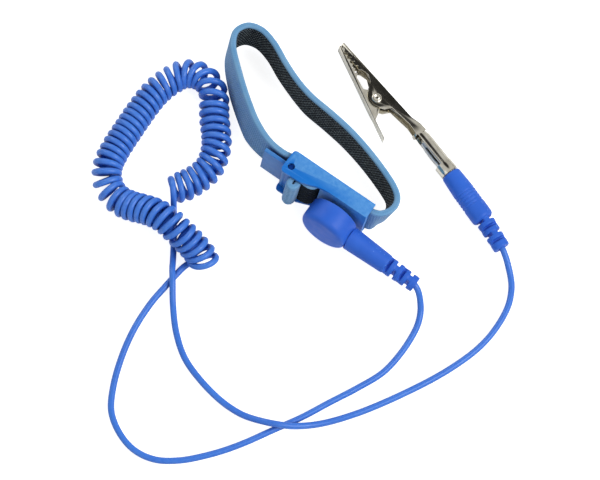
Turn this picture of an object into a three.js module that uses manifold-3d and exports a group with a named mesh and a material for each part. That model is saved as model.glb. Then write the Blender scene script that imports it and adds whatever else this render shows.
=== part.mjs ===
// Wrist strap with a curly grounding cord: an elastic band in a cam buckle, a snap connector
// with a series resistor, a curly cord with two straight leads, and a banana plug that carries
// a toothed spring clip. Millimetres, +Z up. The band stands on its edge and the cord lies flat.
//
// Buckle frame: x runs from the buckle's hinge end to its fixed end, y = 0 is the skin side and
// -y points away from the wrist, z = 0 is the surface that everything rests on.

import * as THREE from 'three';
import { mergeVertices } from 'three/addons/utils/BufferGeometryUtils.js';
import Module from 'manifold-3d';

const wasm = await Module();
wasm.setup();

// ---------------------------------------------------------------- driving sizes

const SEAT = 0.2;            // gap between pieces that rest on each other
const RUNNING = 0.25;        // gap beside a piece that turns or slides
const OVERLAP = 0.4;         // how far joined shapes of one piece reach into each other

const BAND = { thickness: 1.9, edgeGap: 0.3 };   // it fills the buckle between its side walls

const BUCKLE = {
  length: 29.3,
  height: 17,
  wall: 1,                   // the two side walls
  cheekDepth: 7.9,           // depth of the side walls around the hinge pin
  cheekLength: 7.5,
  footDepth: 5.2,            // depth of the side walls over the web
  webStart: 12.9,
  webThickness: 2.2,
  corner: 1.4,
};

const PLATE = { thickness: 0.5, endMargin: 1.5 };

const LEVER = {
  pinX: 2.2,
  pinY: -5.1,
  pinRadius: 0.85,
  pinRecess: 0.6,
  hubRadius: 1.35,
  barrelRadius: 1,           // the round root of the tab, beside the hub
  barrelBack: 1.25,          // from the pin to the barrel's middle
  noseWidth: 1.6,
  tabLength: 9.6,            // from the pin to the free end
  tabWidth: 13.4,
  tabThickness: 1.2,
};

// The band's free end doubles back in the window, then stands out with its end folded over.
const FOLD = {
  turnX: 9.3,
  turnRadius: 2.3,
  bendRadius: 1.6,           // where it turns outwards, next to the lever
  x: 4.3,                    // middle of the layer that stands out
  standOut: 0.75,            // straight run of the layer that stands out
  layerGap: 0.3,
  returnLength: 1.1,
};

const STUD = {
  x: 20.5,
  rivetRadius: 1.1,
  rivetHeadRadius: 2.6,
  rivetHeadThickness: 0.4,
  rivetReach: 1.2,           // how far the shank stands out of the web
  flangeRadius: 3.6,
  flangeThickness: 0.5,
  neckRadius: 1.55,
  knobRadius: 1.85,
  height: 3.9,
};

const HEAD = {
  diameter: 15.5,
  depth: 7.4,
  standOff: 1.6,             // gap between the web and the head's back rim
  wall: 1.5,
  frontWall: 2.2,
  frontEdge: 1.9,
  backEdge: 0.4,
  droop: 3.6,                // degrees that the neck leans towards the surface
};

const SOCKET = { cupRadius: 2.35, sheet: 0.5, cupDepth: 3.5, recess: 0.2 };
const SOCKET_SPRING = { thickness: 0.2, height: 0.6, depth: 1.1 };

const NECK = {
  depth: 3.3,                // from the head's back rim to the neck's middle line
  rootRadius: 3.7,
  endRadius: 3,
  length: 13.6,
  spigotRadius: 2.4,
  boreRadius: 1.5,
  boreDepth: 12.2,
};

const RESISTOR = { radius: 1.2, length: 6.3, leadRadius: 0.32, innerLead: 4.9, outerLead: 3.4 };
const CRIMP = { radius: 0.95, length: 3.2, overlap: 2.2 };

const RELIEF = {
  length: 10.4,
  coreWidth: 1.9,
  slotWidth: 1,
  slotPitch: 2.45,
  slots: 4,
  endRadius: 2.45,
};

const CORD = { diameter: 1.9, sides: 8, lift: 0.2 };
const COIL = { diameter: 9.3, sides: 10, steps: 24 };

const BOOT = {
  frontRadius: 3.05,
  radius: 3.5,
  length: 17.7,
  shoulder: 0.9,             // rounding of its rear edge
  reliefRadius: 2.9,
  bend: -2.9,                // degrees that it is bent aside from its front face on
  reliefTurn: -4,            // degrees that its strain relief is bent on from there
  frontEdge: 0.5,
  grooves: 5,                // shallow rings around its middle, for the grip
  grooveDepth: 0.2,
  grooveWidth: 0.6,
  groovePitch: 1.1,
  firstGroove: 7.4,
  boreRadius: 1.45,
  boreDepth: 12,
};

const PLUG = {
  pinRadius: 1,
  pinTip: -13.6,             // measured from the boot's front face, into the clip
  shank: 8,
  leafRadius: 2.05,
  leafEndRadius: 1.5,
  leafThickness: 0.2,
  leafStart: -12.6,
  leafEnd: -1.2,
  leafSlots: 4,
  leafSlotWidth: 0.6,
  leafSlotMargin: 2,
};

const CLIP = {
  x: 41,                     // the boot's front face in the buckle frame
  y: 27.2,
  turn: -18,                 // degrees from the buckle's length
  sheet: 0.4,
  upperHalfWidth: 2.35,
  tip: -52.5,
  upperTipY: -0.9,           // the upper jaw's back rises slowly towards the barrel
  upperRise: 0.057,
  lowerTipY: -2.8,           // the lower jaw's back falls away towards its handle
  lowerFall: 0.237,
  noseDepth: 0.8,
  handleEnd: -20.3,
  neckStart: -21,            // where the jaw's back turns up to the barrel
  neckInside: 1.2,
  pivotX: -32.1,
  pivotY: -4,
  rivetRadius: 0.95,
  rivetHeadRadius: 1.55,
  rivetHeadThickness: 0.45,
  barrelRadius: 2.7,
  barrelStart: -16.2,
  barrelStartRadius: 2.1,
  barrelOpenBelow: -0.9,     // the barrel is an open channel below this height
  collarRadius: 2.9,
  collarLength: 3.5,
  teeth: 5,
  toothPitch: 1.7,
  toothHeight: 0.9,
  firstTooth: -50.6,
  springRadius: 1.75,
  springLeg: 8.5,
  springWire: 0.5,
  earAhead: 4.9,             // where the lower jaw's cheek rises to its ear, ahead of the rivet
  earSlope: 1.2,
  earStep: 0.3,              // how far the cheek has risen from its teeth by then
};

// The upper jaw's cheek below its teeth and around the rivet, measured from the rivet's middle.
const CHEEK = [
  [-7.6, 2.8], [-5.3, 1.8], [-4, 0.1], [-2.6, -1.3], [-0.9, -2.1], [0.9, -2.1], [2.9, -1.2],
  [4.3, -0.3], [5.2, 2],
];

// ---------------------------------------------------------------- worked out from them

const bandOuterY = -(PLATE.thickness + SEAT + BAND.thickness);
const bandMiddleY = bandOuterY + BAND.thickness / 2;
const bandBottom = BUCKLE.wall + BAND.edgeGap;
const bandTop = BUCKLE.height - bandBottom;
const middleZ = BUCKLE.height / 2;
const webOuterY = -BUCKLE.footDepth;
const headBackY = webOuterY - HEAD.standOff;
const headRadius = HEAD.diameter / 2;
const neckY = headBackY - NECK.depth;
const neckEnd = headRadius + NECK.length;
const reliefEnd = neckEnd + RELIEF.length;
const cordZ = CORD.diameter / 2 + CORD.lift;
const bootAxisZ = BOOT.radius + CORD.lift;
const barrelBore = PLUG.leafRadius + RUNNING;
const lowerHalfWidth = CLIP.upperHalfWidth - CLIP.sheet - RUNNING;
const bootBend = THREE.MathUtils.degToRad(BOOT.bend);
const reliefTurn = THREE.MathUtils.degToRad(BOOT.reliefTurn);

// ---------------------------------------------------------------- materials

function material(color, roughness, metalness) {
  return new THREE.MeshStandardMaterial({ color, roughness, metalness });
}

const FINISH = {
  knit: material(0x6fa6cf, 0.9, 0),
  plastic: material(0x2f7fd8, 0.3, 0),
  vinyl: material(0x3a68d6, 0.45, 0),
  steel: material(0xc9ccce, 0.3, 1),
  nickel: material(0xd8d6cf, 0.2, 1),
  brass: material(0xc8a860, 0.35, 1),
  ceramic: material(0x9cc4d8, 0.5, 0),
};

// ---------------------------------------------------------------- solids

const rotateX = (angle) => new THREE.Matrix4().makeRotationX(angle);
const rotateZ = (angle) => new THREE.Matrix4().makeRotationZ(angle);
const shift = (x, y, z) => new THREE.Matrix4().makeTranslation(x, y, z);

function toSolid(geometry) {
  const bare = geometry.clone();
  bare.deleteAttribute('normal');
  bare.deleteAttribute('uv');
  const merged = mergeVertices(bare, 1e-4);
  const index = merged.index.array;
  const corners = [];
  for (let i = 0; i < index.length; i += 3) {
    const [a, b, c] = [index[i], index[i + 1], index[i + 2]];
    if (a !== b && b !== c && c !== a) corners.push(a, b, c);
  }
  return new wasm.Manifold(new wasm.Mesh({
    numProp: 3,
    vertProperties: new Float32Array(merged.attributes.position.array),
    triVerts: new Uint32Array(corners),
  }));
}

function toGeometry(solid) {
  const mesh = solid.getMesh();
  const geometry = new THREE.BufferGeometry();
  geometry.setAttribute('position', new THREE.BufferAttribute(mesh.vertProperties, 3));
  geometry.setIndex(new THREE.BufferAttribute(mesh.triVerts, 1));
  const faceted = geometry.toNonIndexed();
  faceted.computeVertexNormals();
  return faceted;
}

// The first shape joined with the rest, then cut by each cutter.
function combine(shapes, cutters = []) {
  let solid = toSolid(shapes[0]);
  for (const shape of shapes.slice(1)) solid = solid.add(toSolid(shape));
  for (const cutter of cutters) solid = solid.subtract(toSolid(cutter));
  return toGeometry(solid);
}

function polygon(points) {
  return new THREE.Shape(points.map(([x, y]) => new THREE.Vector2(x, y)));
}

// A shape in x and y, extruded from z = bottom to z = top.
function prism(shape, bottom, top) {
  const options = { depth: top - bottom, bevelEnabled: false, curveSegments: 6 };
  return new THREE.ExtrudeGeometry(shape, options).translate(0, 0, bottom);
}

function box(x0, x1, y0, y1, z0, z1) {
  const geometry = new THREE.BoxGeometry(x1 - x0, y1 - y0, z1 - z0);
  return geometry.translate((x0 + x1) / 2, (y0 + y1) / 2, (z0 + z1) / 2);
}

function turned(profile, segments) {
  const points = profile.map(([radius, height]) => new THREE.Vector2(radius, height));
  return new THREE.LatheGeometry(points, segments);
}

// A turned shape whose profile is [radius, x], lying along x.
function turnedAlongX(profile, segments = 24) {
  const flipped = profile.map(([radius, x]) => [radius, -x]).reverse();
  return turned(flipped, segments).applyMatrix4(rotateZ(Math.PI / 2));
}

// A turned shape whose profile is [radius, y], lying along y around x and z.
function turnedAlongY(profile, x, z, segments = 28) {
  return turned(profile, segments).applyMatrix4(shift(x, 0, z));
}

function rodAlongZ(radius, x, y, bottom, top, segments = 20) {
  const rod = new THREE.CylinderGeometry(radius, radius, top - bottom, segments);
  return rod.applyMatrix4(rotateX(Math.PI / 2)).translate(x, y, (bottom + top) / 2);
}

function rodAlongX(radius, from, to, segments = 24) {
  return turnedAlongX([[0, from], [radius, from], [radius, to], [0, to]], segments);
}

// A strip of even thickness along a flat path, standing from z = bottom to z = top.
function ribbon(path, thickness, bottom, top) {
  const left = [];
  const right = [];
  path.forEach((point, i) => {
    const before = path[Math.max(i - 1, 0)];
    const after = path[Math.min(i + 1, path.length - 1)];
    const along = after.clone().sub(before).normalize();
    const side = new THREE.Vector2(-along.y, along.x).multiplyScalar(thickness / 2);
    left.push(point.clone().add(side));
    right.unshift(point.clone().sub(side));
  });
  return prism(new THREE.Shape([...left, ...right]), bottom, top);
}

function tubeAlong(points, diameter, sides, steps) {
  const route = new THREE.CatmullRomCurve3(points, false, 'centripetal');
  const section = [];
  for (let i = 0; i < sides; i += 1) {
    const angle = ((i + 0.5) / sides) * 2 * Math.PI;
    section.push([Math.cos(angle) * diameter / 2, Math.sin(angle) * diameter / 2]);
  }
  const options = { steps, extrudePath: route, bevelEnabled: false };
  return new THREE.ExtrudeGeometry(polygon(section), options);
}

function piece(name, geometry, finish) {
  const mesh = new THREE.Mesh(geometry, finish);
  mesh.name = name;
  return mesh;
}

// ---------------------------------------------------------------- elastic band

// The band's loop, seen from above, from the buckle's fixed end round to its hinge end.
const LOOP = [
  [31.9, -0.7], [33.5, 1.4], [34.1, 4.1], [33.1, 6.7], [30.3, 8.9], [26, 10.9], [18.2, 13.7],
  [9.8, 15.9], [2, 17.1], [-6, 18], [-12, 19.6], [-18.4, 22.3], [-25.3, 25.7], [-30.6, 26.9],
  [-34.6, 25.6], [-36.4, 22], [-34.8, 17.9], [-27.4, 10.9], [-19.8, 4.9], [-13.9, 1],
  [-7.6, -1.6],
];

function bandPath() {
  const { turnX, turnRadius, bendRadius, x, standOut, layerGap, returnLength } = FOLD;
  const foldRadius = (BAND.thickness + layerGap) / 2;
  const backY = bandMiddleY - 2 * turnRadius;
  const foldY = backY - bendRadius - standOut;
  const path = new THREE.Path();
  path.moveTo(BUCKLE.webStart + 2, bandMiddleY);
  path.lineTo(BUCKLE.length - 1.5, bandMiddleY);
  const mouths = [[BUCKLE.length, bandMiddleY], ...LOOP, [-2.4, -2.1], [LEVER.pinX - 1.4, bandMiddleY]];
  path.splineThru(mouths.map(([px, py]) => new THREE.Vector2(px, py)));
  path.lineTo(turnX, bandMiddleY);
  path.absarc(turnX, bandMiddleY - turnRadius, turnRadius, Math.PI / 2, -Math.PI / 2, true);
  path.lineTo(x + bendRadius, backY);
  path.absarc(x + bendRadius, backY - bendRadius, bendRadius, Math.PI / 2, Math.PI, false);
  path.lineTo(x, foldY);
  path.absarc(x + foldRadius, foldY, foldRadius, Math.PI, 2 * Math.PI, false);
  path.lineTo(x + 2 * foldRadius, foldY + returnLength);
  const points = path.getPoints(5);
  return points.filter((point, i) => i === 0 || point.distanceTo(points[i - 1]) > 1e-3);
}

function elasticBand() {
  const strip = ribbon(bandPath(), BAND.thickness, bandBottom, bandTop);
  const hole = STUD.rivetRadius + RUNNING;
  const punch = [[0, bandOuterY - 1], [hole, bandOuterY - 1], [hole, 1], [0, 1]];
  return combine([strip], [turnedAlongY(punch, STUD.x, middleZ)]);
}

// ---------------------------------------------------------------- buckle

function sideWall() {
  const { length, cheekDepth, cheekLength, footDepth, webStart, corner } = BUCKLE;
  const wall = new THREE.Shape();
  wall.moveTo(corner, 0);
  wall.lineTo(length, 0);
  wall.lineTo(length, -footDepth);
  wall.lineTo(webStart + 4, -footDepth);
  wall.quadraticCurveTo(webStart, -footDepth, (webStart + cheekLength) / 2, -(footDepth + cheekDepth) / 2);
  wall.lineTo(cheekLength, -cheekDepth + 0.3);
  wall.lineTo(corner, -cheekDepth);
  wall.quadraticCurveTo(0, -cheekDepth, 0, -cheekDepth + corner);
  wall.lineTo(0, -corner);
  wall.quadraticCurveTo(0, 0, corner, 0);
  return wall;
}

function buckleBase() {
  const { length, height, wall, webStart, webThickness, footDepth } = BUCKLE;
  const lowWall = prism(sideWall(), 0, wall);
  const highWall = prism(sideWall(), height - wall, height);
  const web = box(
    webStart, length,
    -footDepth, webThickness - footDepth,
    wall - OVERLAP, height - wall + OVERLAP,
  );
  const pinHole = rodAlongZ(LEVER.pinRadius + RUNNING, LEVER.pinX, LEVER.pinY, -1, height + 1);
  const rivetHole = STUD.rivetRadius + SEAT;
  const drill = [[0, -footDepth - 1], [rivetHole, -footDepth - 1], [rivetHole, 0], [0, 0]];
  return combine([lowWall, highWall, web], [pinHole, turnedAlongY(drill, STUD.x, middleZ)]);
}

function contactPlate() {
  const margin = BUCKLE.wall + SEAT;
  const sheet = box(
    PLATE.endMargin, BUCKLE.length - PLATE.endMargin,
    -PLATE.thickness, 0,
    margin, BUCKLE.height - margin,
  );
  const hole = STUD.rivetRadius + SEAT;
  const punch = [[0, -PLATE.thickness - 1], [hole, -PLATE.thickness - 1], [hole, 1], [0, 1]];
  return combine([sheet], [turnedAlongY(punch, STUD.x, middleZ)]);
}

function camLever() {
  const { pinX, pinY, pinRadius, hubRadius, noseWidth, tabLength, tabWidth, tabThickness } = LEVER;
  const { barrelRadius, barrelBack } = LEVER;
  const bottom = BUCKLE.wall + RUNNING;
  const top = BUCKLE.height - bottom;
  const hub = rodAlongZ(hubRadius, pinX, pinY, bottom, top, 24);
  const nose = box(pinX - noseWidth / 2, pinX + noseWidth / 2, pinY, bandOuterY - RUNNING, bottom, top);
  const tabTop = pinY + tabThickness - 0.1;
  const tabEdge = middleZ - tabWidth / 2;
  const tab = box(pinX - tabLength, pinX, tabTop - tabThickness, tabTop, tabEdge, tabEdge + tabWidth);
  const root = box(pinX - barrelBack, pinX, tabTop - tabThickness, tabTop, bottom, top);
  const barrel = rodAlongZ(barrelRadius, pinX - barrelBack, pinY - 0.25, bottom, top, 20);
  const bore = rodAlongZ(pinRadius + RUNNING, pinX, pinY, bottom - 1, top + 1);
  return combine([hub, nose, tab, root, barrel], [bore]);
}

function leverPin() {
  const { pinRadius, pinX, pinY, pinRecess } = LEVER;
  return rodAlongZ(pinRadius, pinX, pinY, pinRecess, BUCKLE.height - pinRecess);
}

// ---------------------------------------------------------------- snap stud

function studRivet() {
  const { rivetRadius, rivetHeadRadius, rivetHeadThickness, rivetReach } = STUD;
  const tipY = webOuterY - rivetReach;
  return turnedAlongY([
    [0, tipY],
    [rivetRadius, tipY],
    [rivetRadius, SEAT],
    [rivetHeadRadius, SEAT],
    [rivetHeadRadius - 0.3, SEAT + rivetHeadThickness],
    [0, SEAT + rivetHeadThickness],
  ], STUD.x, middleZ);
}

function snapStud() {
  const { rivetRadius, rivetReach, flangeRadius, flangeThickness, neckRadius, knobRadius, height } = STUD;
  const baseY = webOuterY - SEAT;
  const bore = rivetRadius + SEAT;
  const tipY = baseY - height;
  return turnedAlongY([
    [0, tipY],
    [knobRadius - 0.6, tipY],
    [knobRadius, tipY + 0.7],
    [knobRadius, tipY + 1.3],
    [neckRadius, tipY + 2],
    [neckRadius, baseY - flangeThickness],
    [flangeRadius, baseY - flangeThickness],
    [flangeRadius, baseY],
    [bore, baseY],
    [bore, webOuterY - rivetReach - SEAT],
    [0, webOuterY - rivetReach - SEAT],
  ], STUD.x, middleZ);
}

// ---------------------------------------------------------------- snap connector
// Its pieces stand around the snap's axis: x and z are 0 there, and the neck runs along +x.

function headShell() {
  const { depth, wall, frontWall, frontEdge, backEdge } = HEAD;
  const frontY = headBackY - depth;
  const profile = [[0, frontY]];
  const roundSteps = 4;
  for (let i = 0; i <= roundSteps; i += 1) {
    const angle = (i / roundSteps) * (Math.PI / 2);
    const radius = headRadius - frontEdge + Math.sin(angle) * frontEdge;
    profile.push([radius, frontY + frontEdge - Math.cos(angle) * frontEdge]);
  }
  profile.push(
    [headRadius, headBackY - backEdge],
    [headRadius - backEdge, headBackY],
    [headRadius - wall, headBackY],
    [headRadius - wall, frontY + frontWall],
    [0, frontY + frontWall],
  );
  const neckHole = rodAlongX(NECK.spigotRadius + SEAT, headRadius - wall - 1, headRadius + 1);
  return combine([turnedAlongY(profile, 0, 0, 40)], [neckHole.translate(0, neckY, 0)]);
}

function snapSocket() {
  const { cupRadius, sheet, cupDepth, recess } = SOCKET;
  const mouthY = headBackY - recess;
  const rimRadius = headRadius - HEAD.wall - SEAT;
  return turnedAlongY([
    [0, mouthY - cupDepth - sheet],
    [cupRadius + sheet, mouthY - cupDepth - sheet],
    [cupRadius + sheet, mouthY - sheet],
    [rimRadius, mouthY - sheet],
    [rimRadius, mouthY],
    [cupRadius, mouthY],
    [cupRadius, mouthY - cupDepth],
    [0, mouthY - cupDepth],
  ], 0, 0, 32);
}

function socketSpring() {
  const { thickness, height, depth } = SOCKET_SPRING;
  const outer = SOCKET.cupRadius - 0.08;
  const y = headBackY - SOCKET.recess - depth;
  return turnedAlongY([
    [outer, y], [outer, y - height], [outer - thickness, y - height], [outer - thickness, y], [outer, y],
  ].reverse(), 0, 0, 24);
}

function seriesResistor() {
  const { radius, length, leadRadius, innerLead, outerLead } = RESISTOR;
  const start = SOCKET.cupRadius + SOCKET.sheet + SEAT;
  const body = start + innerLead;
  return turnedAlongX([
    [0, start],
    [leadRadius, start],
    [leadRadius, body],
    [radius, body + 0.3],
    [radius, body + 1.3],
    [radius - 0.15, body + 1.6],
    [radius - 0.15, body + length - 1.6],
    [radius, body + length - 1.3],
    [radius, body + length - 0.3],
    [leadRadius, body + length],
    [leadRadius, body + length + outerLead],
    [0, body + length + outerLead],
  ], 16);
}

function cordCrimp() {
  const { innerLead, length, outerLead, leadRadius } = RESISTOR;
  const leadEnd = SOCKET.cupRadius + SOCKET.sheet + SEAT + innerLead + length + outerLead;
  const from = leadEnd - CRIMP.overlap;
  const bore = leadRadius + 0.1;
  return turnedAlongX([
    [bore, from], [CRIMP.radius, from], [CRIMP.radius, from + CRIMP.length], [bore, from + CRIMP.length],
    [bore, from],
  ], 16);
}

// A slotted strain relief along x: round, with slots from two sides, each turned from the last.
function slottedRelief(from, startRadius, firstSide) {
  const { length, coreWidth, slotWidth, slotPitch, slots, endRadius } = RELIEF;
  const body = turnedAlongX([
    [0, from - OVERLAP], [startRadius, from - OVERLAP], [startRadius, from], [endRadius, from + length],
    [0, from + length],
  ], 20);
  const cutters = [];
  const reach = startRadius + 1;
  for (let i = 0; i < slots; i += 1) {
    const x = from + slotPitch * i;
    for (const side of [-1, 1]) {
      const near = side * coreWidth / 2;
      const far = side * reach;
      const [low, high] = [Math.min(near, far), Math.max(near, far)];
      const slot = (i + firstSide) % 2
        ? box(x, x + slotWidth, low, high, -reach, reach)
        : box(x, x + slotWidth, -reach, reach, low, high);
      cutters.push(slot);
    }
  }
  return { body, cutters };
}

function snapNeck() {
  const { rootRadius, endRadius, spigotRadius, boreRadius, boreDepth } = NECK;
  const cone = turnedAlongX([[0, 0], [rootRadius, 0], [endRadius, neckEnd], [0, neckEnd]]);
  const headSpace = rodAlongZ(headRadius + SEAT, 0, 0, -headRadius, headRadius, 40);
  headSpace.applyMatrix4(rotateX(Math.PI / 2));
  const spigotStart = headRadius - HEAD.wall + SEAT;
  const outside = combine([cone], [headSpace]);
  const spigot = rodAlongX(spigotRadius, spigotStart, headRadius + 1);
  const bore = rodAlongX(boreRadius, spigotStart - 1, spigotStart + boreDepth, 16);
  const relief = slottedRelief(neckEnd, endRadius, 0);
  return combine([outside, spigot, relief.body], [bore, ...relief.cutters]);
}

// ---------------------------------------------------------------- clip end
// Its pieces lie along x: the boot's front face is x = 0, and the clip's tip is at -x.

function plugBoot() {
  const { frontRadius, radius, length, shoulder, reliefRadius, frontEdge } = BOOT;
  const { grooves, grooveDepth, grooveWidth, groovePitch, firstGroove } = BOOT;
  const { boreRadius, boreDepth } = BOOT;
  const profile = [[0, 0], [frontRadius - frontEdge, 0], [frontRadius, frontEdge]];
  const edge = grooveWidth / 4;
  for (let i = 0; i < grooves; i += 1) {
    const x = firstGroove + i * groovePitch;
    profile.push([radius, x], [radius - grooveDepth, x + edge]);
    profile.push([radius - grooveDepth, x + grooveWidth - edge], [radius, x + grooveWidth]);
  }
  profile.push([radius, length - shoulder], [radius - shoulder * 0.3, length - shoulder * 0.3]);
  profile.push([radius - shoulder, length], [0, length]);
  const body = turnedAlongX(profile, 28).applyMatrix4(rotateZ(bootBend));
  const relief = slottedRelief(0, reliefRadius, 1);
  for (const shape of [relief.body, ...relief.cutters]) {
    shape.applyMatrix4(rotateZ(reliefTurn)).translate(length, 0, 0).applyMatrix4(rotateZ(bootBend));
  }
  const bore = rodAlongX(boreRadius, -1, boreDepth, 20);
  const frontCut = box(-radius, 0, -2 * radius, 2 * radius, -2 * radius, 2 * radius);
  return combine([body, relief.body], [bore, frontCut, ...relief.cutters]);
}

function bananaPin() {
  const { pinRadius, pinTip, shank, leafEnd } = PLUG;
  const shoulder = leafEnd + SEAT;
  return turnedAlongX([
    [0, pinTip],
    [pinRadius - 0.5, pinTip],
    [pinRadius, pinTip + 0.9],
    [pinRadius, shoulder],
    [BOOT.boreRadius - SEAT, shoulder],
    [BOOT.boreRadius - SEAT, shank],
    [0, shank],
  ], 20);
}

function bananaLeaves() {
  const { leafRadius, leafEndRadius, leafThickness, leafStart, leafEnd } = PLUG;
  const { leafSlots, leafSlotWidth, leafSlotMargin } = PLUG;
  const middle = (leafStart + leafEnd) / 2;
  const outer = [
    [leafEndRadius, leafStart], [leafRadius - 0.15, leafStart + 2.5], [leafRadius, middle],
    [leafRadius - 0.15, leafEnd - 2.5], [leafEndRadius, leafEnd],
  ];
  const inner = outer.map(([radius, x]) => [radius - leafThickness, x]).reverse();
  const sleeve = turnedAlongX([...outer, ...inner, outer[0]], 24);
  const cutters = [];
  for (let i = 0; i < leafSlots / 2; i += 1) {
    const slot = box(
      leafStart + leafSlotMargin, leafEnd - leafSlotMargin,
      -leafRadius - 1, leafRadius + 1,
      -leafSlotWidth / 2, leafSlotWidth / 2,
    );
    slot.applyMatrix4(rotateX((i / (leafSlots / 2)) * Math.PI + Math.PI / 4));
    cutters.push(slot);
  }
  return combine([sleeve], cutters);
}

function plugCrimp() {
  const from = PLUG.shank + SEAT;
  return rodAlongX(BOOT.boreRadius - SEAT, from, BOOT.boreDepth - SEAT, 16);
}

// Triangular teeth along an edge from its first tooth, pointing up or down.
function toothRow(edge, direction, offset) {
  const points = [];
  for (let i = 0; i < CLIP.teeth; i += 1) {
    const x = CLIP.firstTooth + offset + i * CLIP.toothPitch;
    const middle = x + CLIP.toothPitch / 2;
    points.push([x, edge(x)], [middle, edge(middle) + direction * CLIP.toothHeight]);
  }
  const end = CLIP.firstTooth + offset + CLIP.teeth * CLIP.toothPitch;
  points.push([end, edge(end)]);
  return points;
}

const upperBack = (x) => CLIP.upperTipY + (x - CLIP.tip) * CLIP.upperRise;
const lowerBack = (x) => CLIP.lowerTipY - (x - CLIP.tip) * CLIP.lowerFall;

function upperJaw() {
  const { sheet, upperHalfWidth, pivotX, pivotY, rivetRadius } = CLIP;
  const { barrelRadius, barrelStartRadius, barrelStart, barrelOpenBelow } = CLIP;
  const { collarRadius, collarLength, tip, noseDepth, neckStart, neckInside } = CLIP;
  const toothEdge = (x) => upperBack(x) - 1.1 - (x - tip) * 0.05;
  const neckEndX = barrelStart + 1;
  const openSide = 12;
  const cheek = polygon([
    [tip, upperBack(tip)],
    [tip, upperBack(tip) - noseDepth],
    ...toothRow(toothEdge, -1, 0),
    ...CHEEK.map(([x, y]) => [pivotX + x, pivotY + y]),
    [neckStart + 1.5, -0.9],
    [neckEndX, -1.2],
    [neckEndX, barrelStartRadius],
    [barrelStart - 1.4, barrelStartRadius - 0.2],
    [neckStart, upperBack(neckStart)],
  ]);
  const channel = polygon([
    [tip + sheet, upperBack(tip) - sheet],
    [neckStart, upperBack(neckStart) - sheet],
    [barrelStart, neckInside],
    [neckEndX + 1, neckInside],
    [neckEndX + 1, -openSide],
    [tip + sheet, -openSide],
  ]);
  const jaw = prism(cheek, -upperHalfWidth, upperHalfWidth);
  const inside = prism(channel, sheet - upperHalfWidth, upperHalfWidth - sheet);
  const barrel = turnedAlongX([
    [0, barrelStart], [barrelStartRadius, barrelStart], [barrelRadius, barrelStart + 2.5],
    [barrelRadius, -SEAT], [0, -SEAT],
  ], 28);
  const collar = rodAlongX(collarRadius, -SEAT - collarLength, -SEAT, 28);
  const bore = rodAlongX(barrelBore, barrelStart + 0.8, 1, 28);
  const slotEnd = -SEAT - collarLength;
  const reach = barrelRadius + 1;
  const slot = box(barrelStart + 0.8, slotEnd, -reach, barrelOpenBelow, -reach, reach);
  const rivetHole = rodAlongZ(rivetRadius + SEAT, pivotX, pivotY, -upperHalfWidth - 1, upperHalfWidth + 1);
  const hollowJaw = combine([jaw], [inside]);
  return combine([hollowJaw, barrel, collar], [bore, slot, rivetHole]);
}

function lowerJaw() {
  const { sheet, pivotX, pivotY, rivetRadius, tip, noseDepth } = CLIP;
  const { earAhead, earSlope, earStep } = CLIP;
  const heel = pivotX + 5.4;
  const end = CLIP.handleEnd;
  const toothEdge = (x) => lowerBack(x) + 0.9;
  const cheek = polygon([
    [tip, lowerBack(tip)],
    [end, lowerBack(end)],
    [end, lowerBack(end) + sheet],
    [heel + 0.6, lowerBack(heel + 0.6) + sheet],
    [heel, lowerBack(heel) + sheet],
    [pivotX + 2.2, pivotY + 0.6],
    [pivotX + 1.2, pivotY + 1.8],
    [pivotX - 1.2, pivotY + 1.8],
    [pivotX - earAhead + earSlope, pivotY - 0.2],
    [pivotX - earAhead, toothEdge(pivotX - earAhead) + earStep],
    ...toothRow(toothEdge, 1, CLIP.toothPitch / 2).reverse(),
    [tip, lowerBack(tip) + noseDepth],
  ]);
  const channel = polygon([
    [tip + sheet, lowerBack(tip + sheet) + sheet],
    [end - 1, lowerBack(end - 1) + sheet],
    [end - 1, 4],
    [tip + sheet, 4],
  ]);
  const jaw = prism(cheek, -lowerHalfWidth, lowerHalfWidth);
  const inside = prism(channel, sheet - lowerHalfWidth, lowerHalfWidth - sheet);
  const reach = lowerHalfWidth + 1;
  const rivetHole = rodAlongZ(rivetRadius + RUNNING, pivotX, pivotY, -reach, reach);
  return combine([jaw], [inside, rivetHole]);
}

function clipRivet() {
  const { rivetRadius, rivetHeadRadius, rivetHeadThickness, pivotX, pivotY, upperHalfWidth } = CLIP;
  const seat = upperHalfWidth + SEAT / 2;
  const shank = rodAlongZ(rivetRadius, pivotX, pivotY, -seat - 0.1, seat + 0.1);
  const shapes = [shank];
  for (const side of [-1, 1]) {
    const [near, far] = [side * seat, side * (seat + rivetHeadThickness)];
    shapes.push(rodAlongZ(rivetHeadRadius, pivotX, pivotY, Math.min(near, far), Math.max(near, far)));
  }
  return combine(shapes);
}

function clipSpring() {
  const { pivotX, pivotY, rivetRadius, springRadius, springLeg, springWire: wire, sheet } = CLIP;
  const halfWidth = lowerHalfWidth - sheet - RUNNING;
  const coil = rodAlongZ(springRadius, pivotX, pivotY, -halfWidth, halfWidth, 24);
  const legEnd = pivotX + springLeg;
  const legStartY = pivotY + springRadius - wire;
  const legEndY = upperBack(legEnd) - sheet - SEAT - wire;
  const leg = prism(polygon([
    [pivotX, legStartY],
    [legEnd, legEndY],
    [legEnd, legEndY + wire],
    [pivotX, legStartY + wire],
  ]), -halfWidth, wire - halfWidth);
  const bore = rodAlongZ(rivetRadius + SEAT, pivotX, pivotY, -halfWidth - 1, halfWidth + 1);
  return combine([coil, leg], [bore]);
}

// ---------------------------------------------------------------- cord
// Chosen points of the cord's route on the surface, in the buckle frame.

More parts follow.
